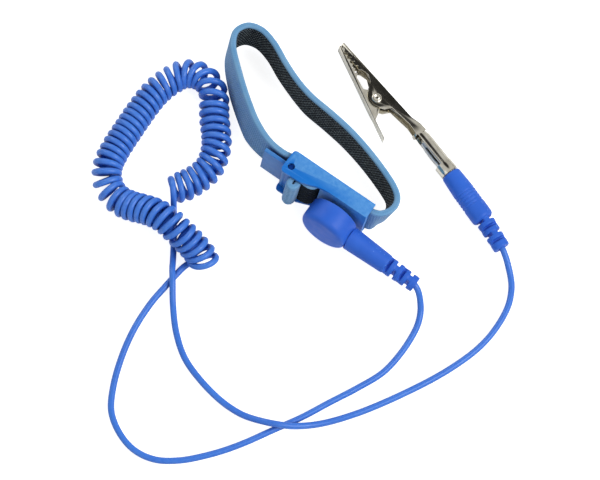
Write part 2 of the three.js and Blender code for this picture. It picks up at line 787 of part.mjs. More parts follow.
const SNAP_LEAD = [
  [55.4, -11.4, 3.4], [58.3, -15, 2.1], [59.8, -20.8, 1.2], [60.2, -28.2], [59.2, -36.6], [55.7, -45.1],
  [51.3, -54], [47.4, -62.1], [43, -69.8], [37.2, -79.9], [32.3, -86.8], [25.6, -94.1],
  [19.6, -98.1], [13.3, -99.3], [7, -97.8], [1.1, -93.9], [-2.8, -87.6], [-6.1, -78.9],
  [-8.4, -69.8], [-9.3, -60.2], [-8.9, -51.4], [-7.4, -46.6], [-4.4, -43.7], [-1.2, -41.9],
  [-0.1, -39.4, 1.6], [-1.7, -37.6, 2.4], [-4.2, -37.6, 3],
];

const CLIP_LEAD = [
  [70.9, 14.4, 1.7], [75.3, 9.9, 1.1], [78.4, 3.2], [79.2, -5.2], [78.2, -13.7], [74.2, -25.5],
  [67.3, -39.4], [59.7, -52], [52.8, -60.8], [46.9, -66.4, 2.6], [42.3, -69.2, 3.4], [35.8, -71.4, 1.8],
  [31.7, -72.2], [25.1, -72.3], [16.1, -70.6], [8.9, -67.9], [2.5, -63.1], [-3.4, -56.5],
  [-7, -51.8, 3.2], [-9.6, -48.3, 3.5], [-12.2, -44.8, 1.9], [-17.6, -36.9], [-20.8, -32.2, 1.2],
];

// The curly stretch's middle line. It rides up where the clip lead runs under it.
const CURL = [
  [-22.9, -27], [-20.6, -23.8], [-18.4, -19.2], [-18.6, -13.5], [-21.6, -7.9], [-26.2, -2.9],
  [-29.8, 0.8], [-32.9, 4.2], [-36.7, 6], [-41.7, 4.9], [-44.7, 0.4], [-46.4, -5],
  [-46.6, -11.7], [-46.7, -18.3], [-46.2, -25.3], [-44.7, -32.4], [-42.6, -36.1],
  [-38.4, -38.9], [-33.2, -40.2, 5.2], [-28.6, -39.1, 6.2], [-23, -37.9, 7.4], [-16.6, -37.7, 7.7],
  [-11, -38.1, 6.2], [-7, -38.5, 5.2],
];

function laid(points, restZ) {
  return points.map(([x, y, z = restZ]) => new THREE.Vector3(x, y, z));
}

const coilZ = COIL.diameter / 2 + CORD.lift;
const headPlace = new THREE.Vector3(STUD.x, 0, middleZ);
const clipPlace = new THREE.Vector3(CLIP.x, CLIP.y, bootAxisZ);
const droop = THREE.MathUtils.degToRad(HEAD.droop);
const clipTurn = THREE.MathUtils.degToRad(CLIP.turn);

// Where a lead leaves its strain relief, and a point a little further on.
const snapLeadStart = [0, 1.2].map((further) => new THREE.Vector3(reliefEnd + SEAT + further, neckY, 0)
  .applyAxisAngle(new THREE.Vector3(0, 1, 0), droop)
  .add(headPlace));
const clipLeadStart = [0, 1.2].map((further) => new THREE.Vector3(RELIEF.length + SEAT + further, 0, 0)
  .applyAxisAngle(new THREE.Vector3(0, 0, 1), reliefTurn)
  .add(new THREE.Vector3(BOOT.length, 0, 0))
  .applyAxisAngle(new THREE.Vector3(0, 0, 1), bootBend + clipTurn)
  .add(clipPlace));

function snapLead() {
  const curlEnd = new THREE.Vector3(-6.7, -38.2, 3.2);
  const points = [...snapLeadStart, ...laid(SNAP_LEAD, cordZ), curlEnd];
  return tubeAlong(points, CORD.diameter, CORD.sides, 38);
}

function clipLead() {
  const curlStart = new THREE.Vector3(-23.1, -27.9, 1.7);
  const points = [...clipLeadStart, ...laid(CLIP_LEAD, cordZ), curlStart];
  return tubeAlong(points, CORD.diameter, CORD.sides, 40);
}

function curlyCord() {
  return tubeAlong(laid(CURL, coilZ), COIL.diameter, COIL.sides, COIL.steps);
}

// ---------------------------------------------------------------- assembly

const strap = new THREE.Group();
strap.add(
  piece('elastic_band', elasticBand(), FINISH.knit),
  piece('buckle_base', buckleBase(), FINISH.plastic),
  piece('contact_plate', contactPlate(), FINISH.steel),
  piece('cam_lever', camLever(), FINISH.plastic),
  piece('lever_pin', leverPin(), FINISH.steel),
  piece('stud_rivet', studRivet(), FINISH.brass),
  piece('snap_stud', snapStud(), FINISH.nickel),
);

const snapHead = new THREE.Group();
snapHead.position.copy(headPlace);
snapHead.rotation.y = droop;
snapHead.add(
  piece('snap_head_shell', headShell(), FINISH.vinyl),
  piece('snap_socket', snapSocket(), FINISH.nickel),
  piece('socket_spring', socketSpring(), FINISH.brass),
);
const neckLine = new THREE.Group();
neckLine.position.y = neckY;
neckLine.add(
  piece('snap_neck', snapNeck(), FINISH.vinyl),
  piece('series_resistor', seriesResistor(), FINISH.ceramic),
  piece('cord_crimp', cordCrimp(), FINISH.brass),
);
snapHead.add(neckLine);

const clipEnd = new THREE.Group();
clipEnd.position.copy(clipPlace);
clipEnd.rotation.z = clipTurn;
clipEnd.add(
  piece('plug_boot', plugBoot(), FINISH.vinyl),
  piece('banana_pin', bananaPin(), FINISH.nickel),
  piece('banana_leaves', bananaLeaves(), FINISH.brass),
  piece('plug_crimp', plugCrimp(), FINISH.brass),
  piece('clip_upper_jaw', upperJaw(), FINISH.nickel),
  piece('clip_lower_jaw', lowerJaw(), FINISH.nickel),
  piece('clip_rivet', clipRivet(), FINISH.steel),
  piece('clip_spring', clipSpring(), FINISH.steel),
);

strap.add(
  snapHead,
  clipEnd,
  piece('snap_lead', snapLead(), FINISH.vinyl),
  piece('curly_cord', curlyCord(), FINISH.vinyl),
  piece('clip_lead', clipLead(), FINISH.vinyl),
);

// The origin is the middle of the buckle's lower side wall, on the surface it stands on.
strap.position.set(-BUCKLE.length / 2, BUCKLE.footDepth / 2, 0);

export default strap;
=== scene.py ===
"""Wrist strap with a curly grounding cord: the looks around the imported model, in metres.

Places are given in the buckle's own millimetres, as in the part's source: x runs from the
buckle's hinge end to its fixed end, y = 0 is the skin side, -y points away from the wrist, and
z = 0 is the surface that everything rests on.
"""

import math
import random

import bmesh
import bpy
from mathutils import Matrix, Vector, noise


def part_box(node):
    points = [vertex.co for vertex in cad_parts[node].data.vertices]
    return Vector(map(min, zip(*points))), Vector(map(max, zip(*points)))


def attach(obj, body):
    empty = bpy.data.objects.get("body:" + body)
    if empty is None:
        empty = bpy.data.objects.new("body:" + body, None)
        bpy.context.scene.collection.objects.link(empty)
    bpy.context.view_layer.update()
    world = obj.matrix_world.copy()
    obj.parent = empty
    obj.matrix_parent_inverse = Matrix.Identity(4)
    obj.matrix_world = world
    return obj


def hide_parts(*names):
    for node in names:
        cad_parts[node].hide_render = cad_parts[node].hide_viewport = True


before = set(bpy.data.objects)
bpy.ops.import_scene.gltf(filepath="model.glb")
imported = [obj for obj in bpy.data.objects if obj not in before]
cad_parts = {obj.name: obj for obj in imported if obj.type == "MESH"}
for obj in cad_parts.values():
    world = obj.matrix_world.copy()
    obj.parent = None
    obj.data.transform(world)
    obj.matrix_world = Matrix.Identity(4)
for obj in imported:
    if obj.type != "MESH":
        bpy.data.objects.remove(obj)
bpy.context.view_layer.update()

MM = 0.001
buckle_low, buckle_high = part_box("buckle_base")
ORIGIN = Vector((buckle_low.x, buckle_high.y, 0))


def at(x, y, z=0.0):
    """A point of the buckle's frame, in millimetres, as a place in metres."""
    return ORIGIN + Vector((x, y, z)) * MM


# ------------------------------------------------------------------ camera

CAMERA_TARGET = (15.5885, -16.7709, 0)
CAMERA_DISTANCE = 720
CAMERA_AZIMUTH = 16.4233
CAMERA_ELEVATION = 70
CAMERA_ROLL = 19
LENS = 142.99
SENSOR = 36


def make_camera():
    azimuth, elevation, roll = (
        math.radians(a) for a in (CAMERA_AZIMUTH, CAMERA_ELEVATION, CAMERA_ROLL)
    )
    back = Vector((
        math.sin(azimuth) * math.cos(elevation),
        -math.cos(azimuth) * math.cos(elevation),
        math.sin(elevation),
    ))
    level = Vector((math.cos(azimuth), math.sin(azimuth), 0))
    upright = back.cross(level)
    right = level * math.cos(roll) + upright * math.sin(roll)
    up = upright * math.cos(roll) - level * math.sin(roll)
    data = bpy.data.cameras.new("camera")
    data.lens = LENS
    data.sensor_width = SENSOR
    data.clip_start = 0.01
    data.clip_end = 20
    camera = bpy.data.objects.new("camera", data)
    bpy.context.scene.collection.objects.link(camera)
    turn = Matrix((right, up, back)).transposed().to_4x4()
    camera.matrix_world = Matrix.Translation(
        at(*CAMERA_TARGET) + back * CAMERA_DISTANCE * MM
    ) @ turn
    bpy.context.scene.camera = camera


make_camera()

# ------------------------------------------------------------------ places of the moving groups

# Millimetres and degrees.
MIDDLE_Z = 8.5
STUD_X = 20.5
HEAD_DROOP = 3.6
HEAD_RADIUS = 7.75
HEAD_BACK_Y = -6.8
HEAD_DEPTH = 7.4
NECK_Y = -10.1
CLIP_PLACE = (41, 27.2, 3.7)
CLIP_TURN = -18
BOOT_BEND = -2.9
RELIEF_TURN = -4
BOOT_LENGTH = 17.7
RELIEF_LENGTH = 10.4
SLOT_PITCH = 2.45
SLOT_WIDTH = 1.0
CORE_HALF = 0.9
NECK_END = 21.35
RIVET_PLACE = (-32.1, -4, 0)
BAND_BOTTOM = 1.3
BAND_TOP = 15.7
BAND_WIDTH = BAND_TOP - BAND_BOTTOM
WALE_WIDTH = 0.6

head_frame = Matrix.Translation(at(STUD_X, 0, MIDDLE_Z)) @ Matrix.Rotation(
    math.radians(HEAD_DROOP), 4, "Y"
)
neck_frame = head_frame @ Matrix.Translation(Vector((0, NECK_Y, 0)) * MM)
clip_frame = Matrix.Translation(at(*CLIP_PLACE)) @ Matrix.Rotation(math.radians(CLIP_TURN), 4, "Z")
boot_frame = clip_frame @ Matrix.Rotation(math.radians(BOOT_BEND), 4, "Z")
relief_frame = (
    boot_frame
    @ Matrix.Translation(Vector((BOOT_LENGTH, 0, 0)) * MM)
    @ Matrix.Rotation(math.radians(RELIEF_TURN), 4, "Z")
)

# ------------------------------------------------------------------ cord

CORD_DIAMETER = 1.98
CORD_Z = 1.15
CORD_STEP = 0.8
CORD_INSIDE_RELIEF = 2
CORD_PAST_RELIEF = 0.6
COIL_RADIUS = 3.75
COIL_TURNS = 53.25
COIL_LINE_STEP = 0.25
STEPS_PER_TURN = 20
AHEAD_STEPS = 6
WINDING_SPAN = 4
SWAY_SEED = 7
RADIUS_SWAY = 0.006
PLACE_SWAY = 0.08
LOWEST_CENTRE = CORD_DIAMETER / 2 + 0.03

# Where the coil's turns are wider than the rest: by how much, and the turns over which that
# comes in towards its end or goes away from its start.
WIDER_AT_END = [(0.15, 49, 52)]
WIDER_AT_START = [(0.1, 4, 8), (0.3, 0.6, 1.6)]

# Neighbouring turns are pushed apart up to this share of the diameter.
TURN_ROOM = 0.78
PUSH_ROUNDS = 60
PUSH_SHARE = 0.12
PUSH_REACH = 3

# Where bends are eased: at the relief the first and last point, at the coil's ends how many points
# before and after, and then the rounds.
RELIEF_EASING = (3, 12, 8)
SNAP_JOIN_EASING = (8, 16, 4)
CLIP_JOIN_EASING = (18, 12, 4)

SNAP_LEAD = [
    (54.4, -11.1, 5.3), (55.9, -12.2, 3.7), (57.3, -13.7, 2.4), (58.6, -15.9, 1.5),
    (59.5, -18.6), (60, -22), (60.2, -28.2), (59.2, -36.6),
    (55.7, -45.1), (51.3, -54), (47.4, -62.1), (43, -69.8), (37.2, -79.9), (32.3, -86.8),
    (25.6, -94.1), (19.6, -98.1), (13.3, -99.3), (7, -97.8), (1.1, -93.9), (-2.8, -87.6),
    (-6.1, -78.9), (-8.2, -69.8), (-8.9, -60.2), (-8.5, -53.4, 1), (-8, -48, 1), (-7.4, -44, 1),
]

CLIP_LEAD = [
    (68.4, 15.7, 3.4), (70, 14.7, 2.8), (71.9, 13.2, 2), (74.1, 11.2, 1.4), (76.2, 8.5),
    (78.4, 3.2), (79.2, -5.2), (78.2, -13.7), (74.2, -25.5),
    (67.3, -39.4), (59.7, -52), (52.8, -60.8), (46.9, -66.4, 2.6), (42.3, -69.2, 3.4),
    (35.8, -71.4, 1.8), (31.7, -72.2), (25.1, -72.3), (16.1, -70.6), (8.9, -67.9), (2.5, -63.1),
    (-3.4, -56.5), (-8, -50.4, 3), (-9.6, -48.3, 2.8), (-11, -45.9, 1.7), (-13, -42.7, 1),
    (-16.5, -37.4, 1), (-18, -35.4, 1.2), (-19.1, -33.9, 2), (-20, -32.9, 3.3),
    (-20.8, -32, 4.9), (-21.6, -31, 6.5), (-22.5, -30, 7.9), (-23.6, -28.8, 8.7),
    (-24.9, -27.4, 8.6),
]

# The curly stretch's middle line, from the snap lead's end to the clip lead's.
CURL = [
    (-2.7, -41.2, 4), (-3.6, -40.7, 4), (-5.9, -39.8, 4.7), (-10.4, -39, 6.1), (-14.4, -38.7, 7.2),
    (-18.5, -38.1, 7.7), (-22.7, -38.1, 7.4), (-26.7, -38.9, 6.6), (-30.7, -40.1, 5.7),
    (-34.7, -40.5, 5), (-38.7, -39.3), (-42, -36.7), (-44.1, -33.1), (-45, -29.1), (-45.5, -24.9),
    (-45.8, -20.7), (-46.1, -16.5), (-46.3, -12.3), (-46.4, -8.1), (-46, -3.9), (-44.9, 0.1),
    (-43.2, 4), (-40, 6.5), (-35.9, 6.9), (-32.2, 5), (-29.6, 1.8), (-27.2, -1.6), (-24.4, -4.8),
    (-21.8, -8.1), (-20, -11.9), (-19.1, -16), (-19.7, -20.1), (-21.3, -24.3), (-22.6, -26.6),
    (-23.6, -28.8), (-23.8, -29.3),
]

# Along that line: the place, the turns so far, how far a turn's outer side lies ahead of its
# inner side, and how far its top leans ahead of its foot.
WINDING = [
    (0, 0, -0.5, -2.7), (1, 0.5, -0.5, -2.6), (3.6, 1.5, -0.5, -1.3), (5.9, 2.5, -0.7, -0.9),
    (8.3, 3.5, -0.7, -0.7), (10.65, 4.5, -0.7, -0.7), (13.4, 5.5, -0.6, -0.7),
    (16.1, 6.5, -0.7, -0.6), (18.5, 7.5, -0.1, -0.3), (20.8, 8.5, 0.6, 0.1), (23, 9.5, 1.2, 0.5),
    (27.1, 11.5, 1.2, 0.9), (31, 13.5, 0.7, 0.7), (33.7, 14.5, -0.9, 0), (36.9, 15.5, -1.5, -0.5),
    (43.25, 17.5, -1.1, -0.5), (45.75, 18.5, -0.7, -0.2), (48.05, 19.5, -0.3, 0),
    (56.85, 23.5, 0, 0), (65.2, 27.5, 0.1, 0), (72.15, 30.5, 0.5, 0), (77.2, 32.5, 0.9, -0.2),
    (82.7, 34.5, 1.3, -0.5), (88.1, 36.5, 2.1, -0.9), (91.2, 37.5, 2.4, -1), (94.65, 38.5, 2.6, -0.8),
    (98.2, 39.5, 1, -0.3), (101.7, 40.5, -0.6, 0.1), (104, 41.5, -0.5, -0.1), (109.35, 43.5, 0.4, -0.1),
    (114.35, 45.5, 1.0, 0.3), (119.75, 47.5, 1.4, 0.9), (125.1, 49.5, 0.7, 0.8),
    (130.3, 51.5, 0.2, 0.3), (132.9, 52.5, 1, 0.1), (134.6, 53.25, 1.5, 0), (136, 54, 1.5, 0),
]


def with_height(rows, height):
    """Rows of x and y, some with a z of their own, as vectors in millimetres."""
    return [Vector((row[0], row[1], row[2] if len(row) > 2 else height)) for row in rows]


def reach_along(line):
    """The length of the line up to each of its points."""
    reach = [0.0]
    for a, b in zip(line, line[1:]):
        reach.append(reach[-1] + (b - a).length)
    return reach


def smooth_line(points, spacing):
    """Points a given distance apart on a centripetal Catmull-Rom line through the points."""
    knots = [points[0] * 2 - points[1], *points, points[-1] * 2 - points[-2]]
    dense = []
    for p0, p1, p2, p3 in zip(knots, knots[1:], knots[2:], knots[3:]):
        t1 = max((p1 - p0).length, 1e-9) ** 0.5
        t2 = t1 + max((p2 - p1).length, 1e-9) ** 0.5
        t3 = t2 + max((p3 - p2).length, 1e-9) ** 0.5
        pieces = max(2, math.ceil((p2 - p1).length / (spacing / 4)))
        for i in range(pieces):
            t = t1 + (t2 - t1) * i / pieces
            a1 = p0 * ((t1 - t) / t1) + p1 * (t / t1)
            a2 = p1 * ((t2 - t) / (t2 - t1)) + p2 * ((t - t1) / (t2 - t1))
            a3 = p2 * ((t3 - t) / (t3 - t2)) + p3 * ((t - t2) / (t3 - t2))
            b1 = a1 * ((t2 - t) / t2) + a2 * (t / t2)
            b2 = a2 * ((t3 - t) / (t3 - t1)) + a3 * ((t - t1) / (t3 - t1))
            dense.append(b1 * ((t2 - t) / (t2 - t1)) + b2 * ((t - t1) / (t2 - t1)))
    dense.append(points[-1])
    return even_line(dense, spacing)


def even_line(line, spacing):
    """The same line with points an even distance apart, close to the spacing."""
    reach = reach_along(line)
    count = max(2, round(reach[-1] / spacing))
    even = []
    j = 0
    for i in range(count + 1):
        goal = reach[-1] * i / count
        while j < len(line) - 2 and reach[j + 1] < goal:
            j += 1
        step = reach[j + 1] - reach[j]
        share = 0 if step == 0 else min(1, (goal - reach[j]) / step)
        even.append(line[j].lerp(line[j + 1], share))
    return even


def ramp(x, low, high):
    """0 below low, 1 above high, and a smooth rise between them."""
    t = min(1, max(0, (x - low) / (high - low)))
    return t * t * (3 - 2 * t)


def winding_at(reach):
    """Turns, slant and lean at each place, smoothed over about two millimetres."""
    rows = []
    k = 0
    for place in reach:
        while k < len(WINDING) - 2 and WINDING[k + 1][0] < place:
            k += 1
        low, high = WINDING[k], WINDING[k + 1]
        share = min(1, (place - low[0]) / (high[0] - low[0]))
        rows.append([a + (b - a) * share for a, b in zip(low[1:], high[1:])])
    smooth = []
    for i in range(len(rows)):
        span = min(WINDING_SPAN, i, len(rows) - 1 - i)
        near = rows[i - span:i + span + 1]
        smooth.append([sum(column) / len(near) for column in zip(*near)])
    return smooth


def end_widening(turn):
    """How much wider than the rest a turn near one of the coil's ends is."""
    at_end = sum(extra * ramp(turn, low, high) for extra, low, high in WIDER_AT_END)
    at_start = sum(extra * (1 - ramp(turn, low, high)) for extra, low, high in WIDER_AT_START)
    return at_end + at_start


def helix_points():
    """The curly stretch from the snap lead's end to the clip lead's, a left-handed helix."""
    middle = smooth_line(with_height(CURL, COIL_RADIUS), COIL_LINE_STEP)
    winding = winding_at(reach_along(middle))
    wobble = random.Random(SWAY_SEED)
    sway = [wobble.uniform(-1, 1) for _ in range(math.ceil(COIL_TURNS) + 3)]
    points = []
    j = 0
    for i in range(round(COIL_TURNS * STEPS_PER_TURN) + 1):
        turn = i / STEPS_PER_TURN
        while j < len(winding) - 2 and winding[j + 1][0] < turn:
            j += 1
        share = min(1, (turn - winding[j][0]) / (winding[j + 1][0] - winding[j][0]))
        centre = middle[j].lerp(middle[j + 1], share)
        slant, lean = (winding[j][c] * (1 - share) + winding[j + 1][c] * share for c in (1, 2))
        before = middle[max(j - AHEAD_STEPS, 0)]
        after = middle[min(j + AHEAD_STEPS, len(middle) - 1)]
        ahead = (after - before).normalized()
        side = ahead.cross(Vector((0, 0, 1))).normalized()
        upright = side.cross(ahead)
        k = int(turn)
        jitter = sway[k] * (1 - turn + k) + sway[k + 1] * (turn - k)
        radius = COIL_RADIUS * (1 + RADIUS_SWAY * jitter) + end_widening(turn)
        reach_side = math.sqrt(radius ** 2 - (slant / 2) ** 2)
        reach_up = math.sqrt(radius ** 2 - lean ** 2)
        centre.z = max(centre.z, reach_up + LOWEST_CENTRE)
        angle = -math.pi / 2 + 2 * math.pi * turn
        along = lean * math.sin(angle) - slant / 2 * math.cos(angle) + PLACE_SWAY * jitter
        points.append(
            centre + side * math.cos(angle) * reach_side + upright * math.sin(angle) * reach_up
            + ahead * along
        )
    return points


def settled(points):
    """The coil with its turns pushed apart where they press into one another."""
    room = TURN_ROOM * CORD_DIAMETER
    for _ in range(PUSH_ROUNDS):
        moves = [Vector() for _ in points]
        for i in range(len(points) - STEPS_PER_TURN - PUSH_REACH):
            next_turn = i + STEPS_PER_TURN
            for j in range(next_turn - PUSH_REACH, next_turn + PUSH_REACH + 1):
                gap = points[j] - points[i]
                if 0 < gap.length < room:
                    push = gap * (PUSH_SHARE * (room - gap.length) / gap.length)
                    moves[i] -= push
                    moves[j] += push
        for i in range(PUSH_REACH, len(points) - PUSH_REACH):
            near = moves[i - PUSH_REACH:i + PUSH_REACH + 1]
            points[i] = points[i] + sum(near, Vector()) / len(near)
            points[i].z = max(points[i].z, LOWEST_CENTRE)
    return points


def eased(line, low, high, rounds):
    """The line with its bends between two places made wider."""
    for _ in range(rounds):
        row = list(line)
        for i in range(max(low, 1), min(high, len(line) - 1)):
            row[i] = line[i] * 0.5 + (line[i - 1] + line[i + 1]) * 0.25
        line = row
    return line


def nearest(line, place):
    """The index of the line's point that lies nearest to a place."""
    return min(range(len(line)), key=lambda i: (line[i] - place).length)


def cord_points():
    """The whole cord from inside the neck's relief to inside the boot's, and where it comes out."""
    ends = (-CORD_INSIDE_RELIEF, 0, CORD_PAST_RELIEF)
    from_neck = [
        head_frame @ (Vector((NECK_END + RELIEF_LENGTH + x, NECK_Y, 0)) * MM) for x in ends
    ]
    to_boot = [relief_frame @ (Vector((RELIEF_LENGTH + x, 0, 0)) * MM) for x in reversed(ends)]
    snap_lead = from_neck + [at(*place) for place in with_height(SNAP_LEAD, CORD_Z)]
    clip_lead = [at(*place) for place in with_height(reversed(CLIP_LEAD), CORD_Z)] + to_boot
    helix = [at(*place) for place in settled(helix_points())]
    into_coil = smooth_line([*snap_lead, helix[0], helix[2], helix[4]], CORD_STEP * MM)
    out_of_coil = smooth_line([helix[-5], helix[-3], helix[-1], *clip_lead], CORD_STEP * MM)
    start = nearest(into_coil, helix[0])
    end = start + len(helix)
    line = into_coil[:start] + helix + out_of_coil[nearest(out_of_coil, helix[-1]) + 1:]
    line = eased(line, *RELIEF_EASING)
    for middle, (before, after, rounds) in ((start, SNAP_JOIN_EASING), (end, CLIP_JOIN_EASING)):
        line = eased(line, middle - before, middle + after, rounds)
    return even_line(line, CORD_STEP * MM), from_neck[1]


def make_cord(material):
    points, exit_point = cord_points()
    data = bpy.data.curves.new("grounding_cord", "CURVE")
    data.dimensions = "3D"
    data.bevel_depth = CORD_DIAMETER / 2 * MM
    data.bevel_resolution = 3
    data.use_fill_caps = True
    spline = data.splines.new("POLY")
    spline.points.add(len(points) - 1)
    for place, point in zip(spline.points, points):
        place.co = (*point, 1)
    spline.use_smooth = True
    data.materials.append(material)
    cord = bpy.data.objects.new("grounding_cord", data)
    bpy.context.scene.collection.objects.link(cord)
    length = reach_along(points)[-1]
    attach(cord, "cord_set")
    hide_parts("snap_lead", "curly_cord", "clip_lead")
    return cord, exit_point, round(length, 2)


# ------------------------------------------------------------------ materials


def linear(colour):
    """An sRGB colour such as '3f73d6' as linear red, green, blue and alpha."""
    channels = (int(colour[i:i + 2], 16) / 255 for i in (0, 2, 4))
    return (*(c / 12.92 if c <= 0.04045 else ((c + 0.055) / 1.055) ** 2.4 for c in channels), 1)


def fill_ramp(node, stops):
    """Give a colour ramp its stops, each a position and a linear colour."""
    elements = node.color_ramp.elements
    while len(elements) < len(stops):
        elements.new(0.5)
    for element, (position, colour) in zip(elements, stops):
        element.position = position
        element.color = colour


class Finish:
    """One material, with helpers that add nodes in front of its shader."""

    def __init__(self, name, **sockets):
        self.material = bpy.data.materials.new(name)
        self.material.use_nodes = True
        self.tree = self.material.node_tree
        self.shader = self.tree.nodes["Principled BSDF"]
        for socket, value in sockets.items():
            self.shader.inputs[socket.replace("_", " ")].default_value = value
        self.place = self.add("ShaderNodeTexCoord").outputs["Object"]

    def add(self, kind, inputs=(), **settings):
        made = self.tree.nodes.new(kind)
        for key, value in settings.items():
            setattr(made, key, value)
        for key, value in dict(inputs).items():
            if isinstance(value, bpy.types.NodeSocket):
                self.tree.links.new(value, made.inputs[key])
            else:
                made.inputs[key].default_value = value
        return made

    def link(self, socket, name):
        self.tree.links.new(socket, self.shader.inputs[name])

    def math(self, operation, a, b=0.0, c=None):
        inputs = {0: a, 1: b}
        if c is not None:
            inputs[2] = c
        return self.add("ShaderNodeMath", inputs, operation=operation).outputs[0]

    def noise(self, size, detail=2.0, roughness=0.5, place=None):
        """Noise between 0 and 1 whose patches are about `size` millimetres across."""
        inputs = {
            "Vector": place or self.place, "Scale": 1 / (size * MM), "Detail": detail,
            "Roughness": roughness,
        }
        return self.add("ShaderNodeTexNoise", inputs).outputs["Fac"]

    def spread(self, factor, low, high, start=0.3, end=0.7):
        """The factor's range from start to end, mapped to low to high."""
        inputs = {"Value": factor, "From Min": start, "From Max": end, "To Min": low, "To Max": high}
        return self.add("ShaderNodeMapRange", inputs).outputs["Result"]

    def tones(self, factor, stops):
        made = self.add("ShaderNodeValToRGB", {"Fac": factor})
        fill_ramp(made, [(position, linear(colour)) for position, colour in stops])
        return made.outputs["Color"]

    def mix(self, factor, a, b):
        """Colour a where the factor is 0 and colour b where it is 1."""
        return self.add("ShaderNodeMix", {0: factor, 6: a, 7: b}, data_type="RGBA").outputs[2]

    def openness(self, distance):
        """1 where nothing stands within `distance` millimetres, and less inside gaps."""
        inputs = {"Distance": distance * MM}
        return self.add("ShaderNodeAmbientOcclusion", inputs, samples=6).outputs["AO"]

    def bump(self, height, strength, distance, below=None):
        """Bump by a height of `distance` millimetres, on top of another bump."""
        inputs = {"Height": height, "Strength": strength, "Distance": distance * MM}
        if below is not None:
            inputs["Normal"] = below
        return self.add("ShaderNodeBump", inputs).outputs["Normal"]


def moulded(name, dark, light, worn, roughness, grain, grain_depth, gap_shade=None, **sockets):
    """Moulded plastic: faint flow marks, fine grain, lighter worn edges, and painted shade that darkens
    its gaps towards a given colour.
    """
    finish = Finish(name, **sockets)
    flow = finish.noise(9, 3)
    base = finish.tones(flow, [(0.32, dark), (0.68, light)])
    if gap_shade:
        # Painted shade: where other surfaces stand close, the colour darkens towards the given gap
        # colour.
        painted_gap_shade = finish.spread(finish.openness(3), 0.9, 0, 0.25, 0.85)
        base = finish.mix(painted_gap_shade, base, linear(gap_shade))
    edges = finish.add("ShaderNodeNewGeometry").outputs["Pointiness"]
    scuffs = finish.noise(1.1, 4, 0.6)
    rubbed = finish.math("MULTIPLY", finish.spread(edges, 0, 1, 0.52, 0.6), scuffs)
    finish.link(finish.mix(rubbed, base, linear(worn)), "Base Color")
    patches = finish.noise(2.4, 3)
    finish.link(finish.spread(patches, roughness * 0.85, roughness * 1.2), "Roughness")
    fine = finish.noise(grain, 2)
    waves = finish.bump(finish.noise(4.5, 1), 0.25, 0.05)
    finish.link(finish.bump(fine, grain_depth, 0.04, waves), "Normal")
    return finish.material


def plated(name, dark, light, roughness, **sockets):
    """Bright metal plate: uneven tone, fine drawing marks and a slightly wavy skin."""
    finish = Finish(name, Metallic=1.0, **sockets)
    finish.link(finish.tones(finish.noise(3, 3), [(0.3, dark), (0.7, light)]), "Base Color")
    inputs = {"Vector": finish.place, "Scale": (1, 9, 9)}
    stretched = finish.add("ShaderNodeMapping", inputs).outputs["Vector"]
    marks = finish.noise(1.6, 3, 0.6, stretched)
    finish.link(finish.spread(marks, roughness * 0.7, roughness * 1.4), "Roughness")
    waves = finish.bump(finish.noise(2.6, 1), 0.35, 0.03)
    finish.link(finish.bump(marks, 0.12, 0.02, waves), "Normal")
    return finish.material


def knit_outside():
    """Light blue knit: rows of small slanting stitches in lengthwise wales."""
    finish = Finish("knit_blue", Roughness=0.85, Sheen_Weight=0.15, Sheen_Roughness=0.5)
    uv = finish.add("ShaderNodeTexCoord").outputs["UV"]
    split = finish.add("ShaderNodeSeparateXYZ", {"Vector": uv})
    along, across = split.outputs["X"], split.outputs["Y"]
    stitch_pitch = 0.7
    waver = finish.math("MULTIPLY", finish.noise(2.2, 2), 0.55)
    fold = finish.math("PINGPONG", across, WALE_WIDTH)
    slant = finish.math("ADD", finish.math("MULTIPLY_ADD", along, 1 / stitch_pitch, waver), fold)
    stitch = finish.math("SINE", finish.math("MULTIPLY", slant, 2 * math.pi))
    wave = finish.math("SINE", finish.math("MULTIPLY", across, math.pi / WALE_WIDTH))
    wale = finish.math("ABSOLUTE", wave)
    # The stitches flatten out into a plain selvedge at both edges.
    from_middle = finish.math("ABSOLUTE", finish.math("SUBTRACT", across, BAND_WIDTH / 2))
    stitch = finish.math("MULTIPLY", stitch, finish.spread(from_middle, 1, 0.15, 5.4, 6.3))
    stitch_height = finish.math("MULTIPLY_ADD", stitch, 0.5, 0.5)
    wale_height = finish.math("MULTIPLY", wale, 0.35)
    raised = finish.math("MULTIPLY_ADD", stitch_height, 0.65, wale_height)
    yarn = finish.tones(raised, [(0.05, "3b78ac"), (0.45, "649fd0"), (0.95, "86bbe6")])
    yarn = finish.mix(finish.spread(finish.noise(7, 3), 0.0, 0.3), yarn, linear("a5cce6"))
    # Painted shade: the yarn darkens towards a deep blue in enclosed places such as the fold and the
    # buckle's window.
    painted_gap_shade = finish.spread(finish.openness(4), 0.85, 0, 0.15, 0.6)
    finish.link(finish.mix(painted_gap_shade, yarn, linear("1c3f66")), "Base Color")
    fuzz = finish.bump(finish.noise(0.16, 2), 0.5, 0.05)
    finish.link(finish.bump(raised, 0.8, 0.14, fuzz), "Normal")
    return finish.material


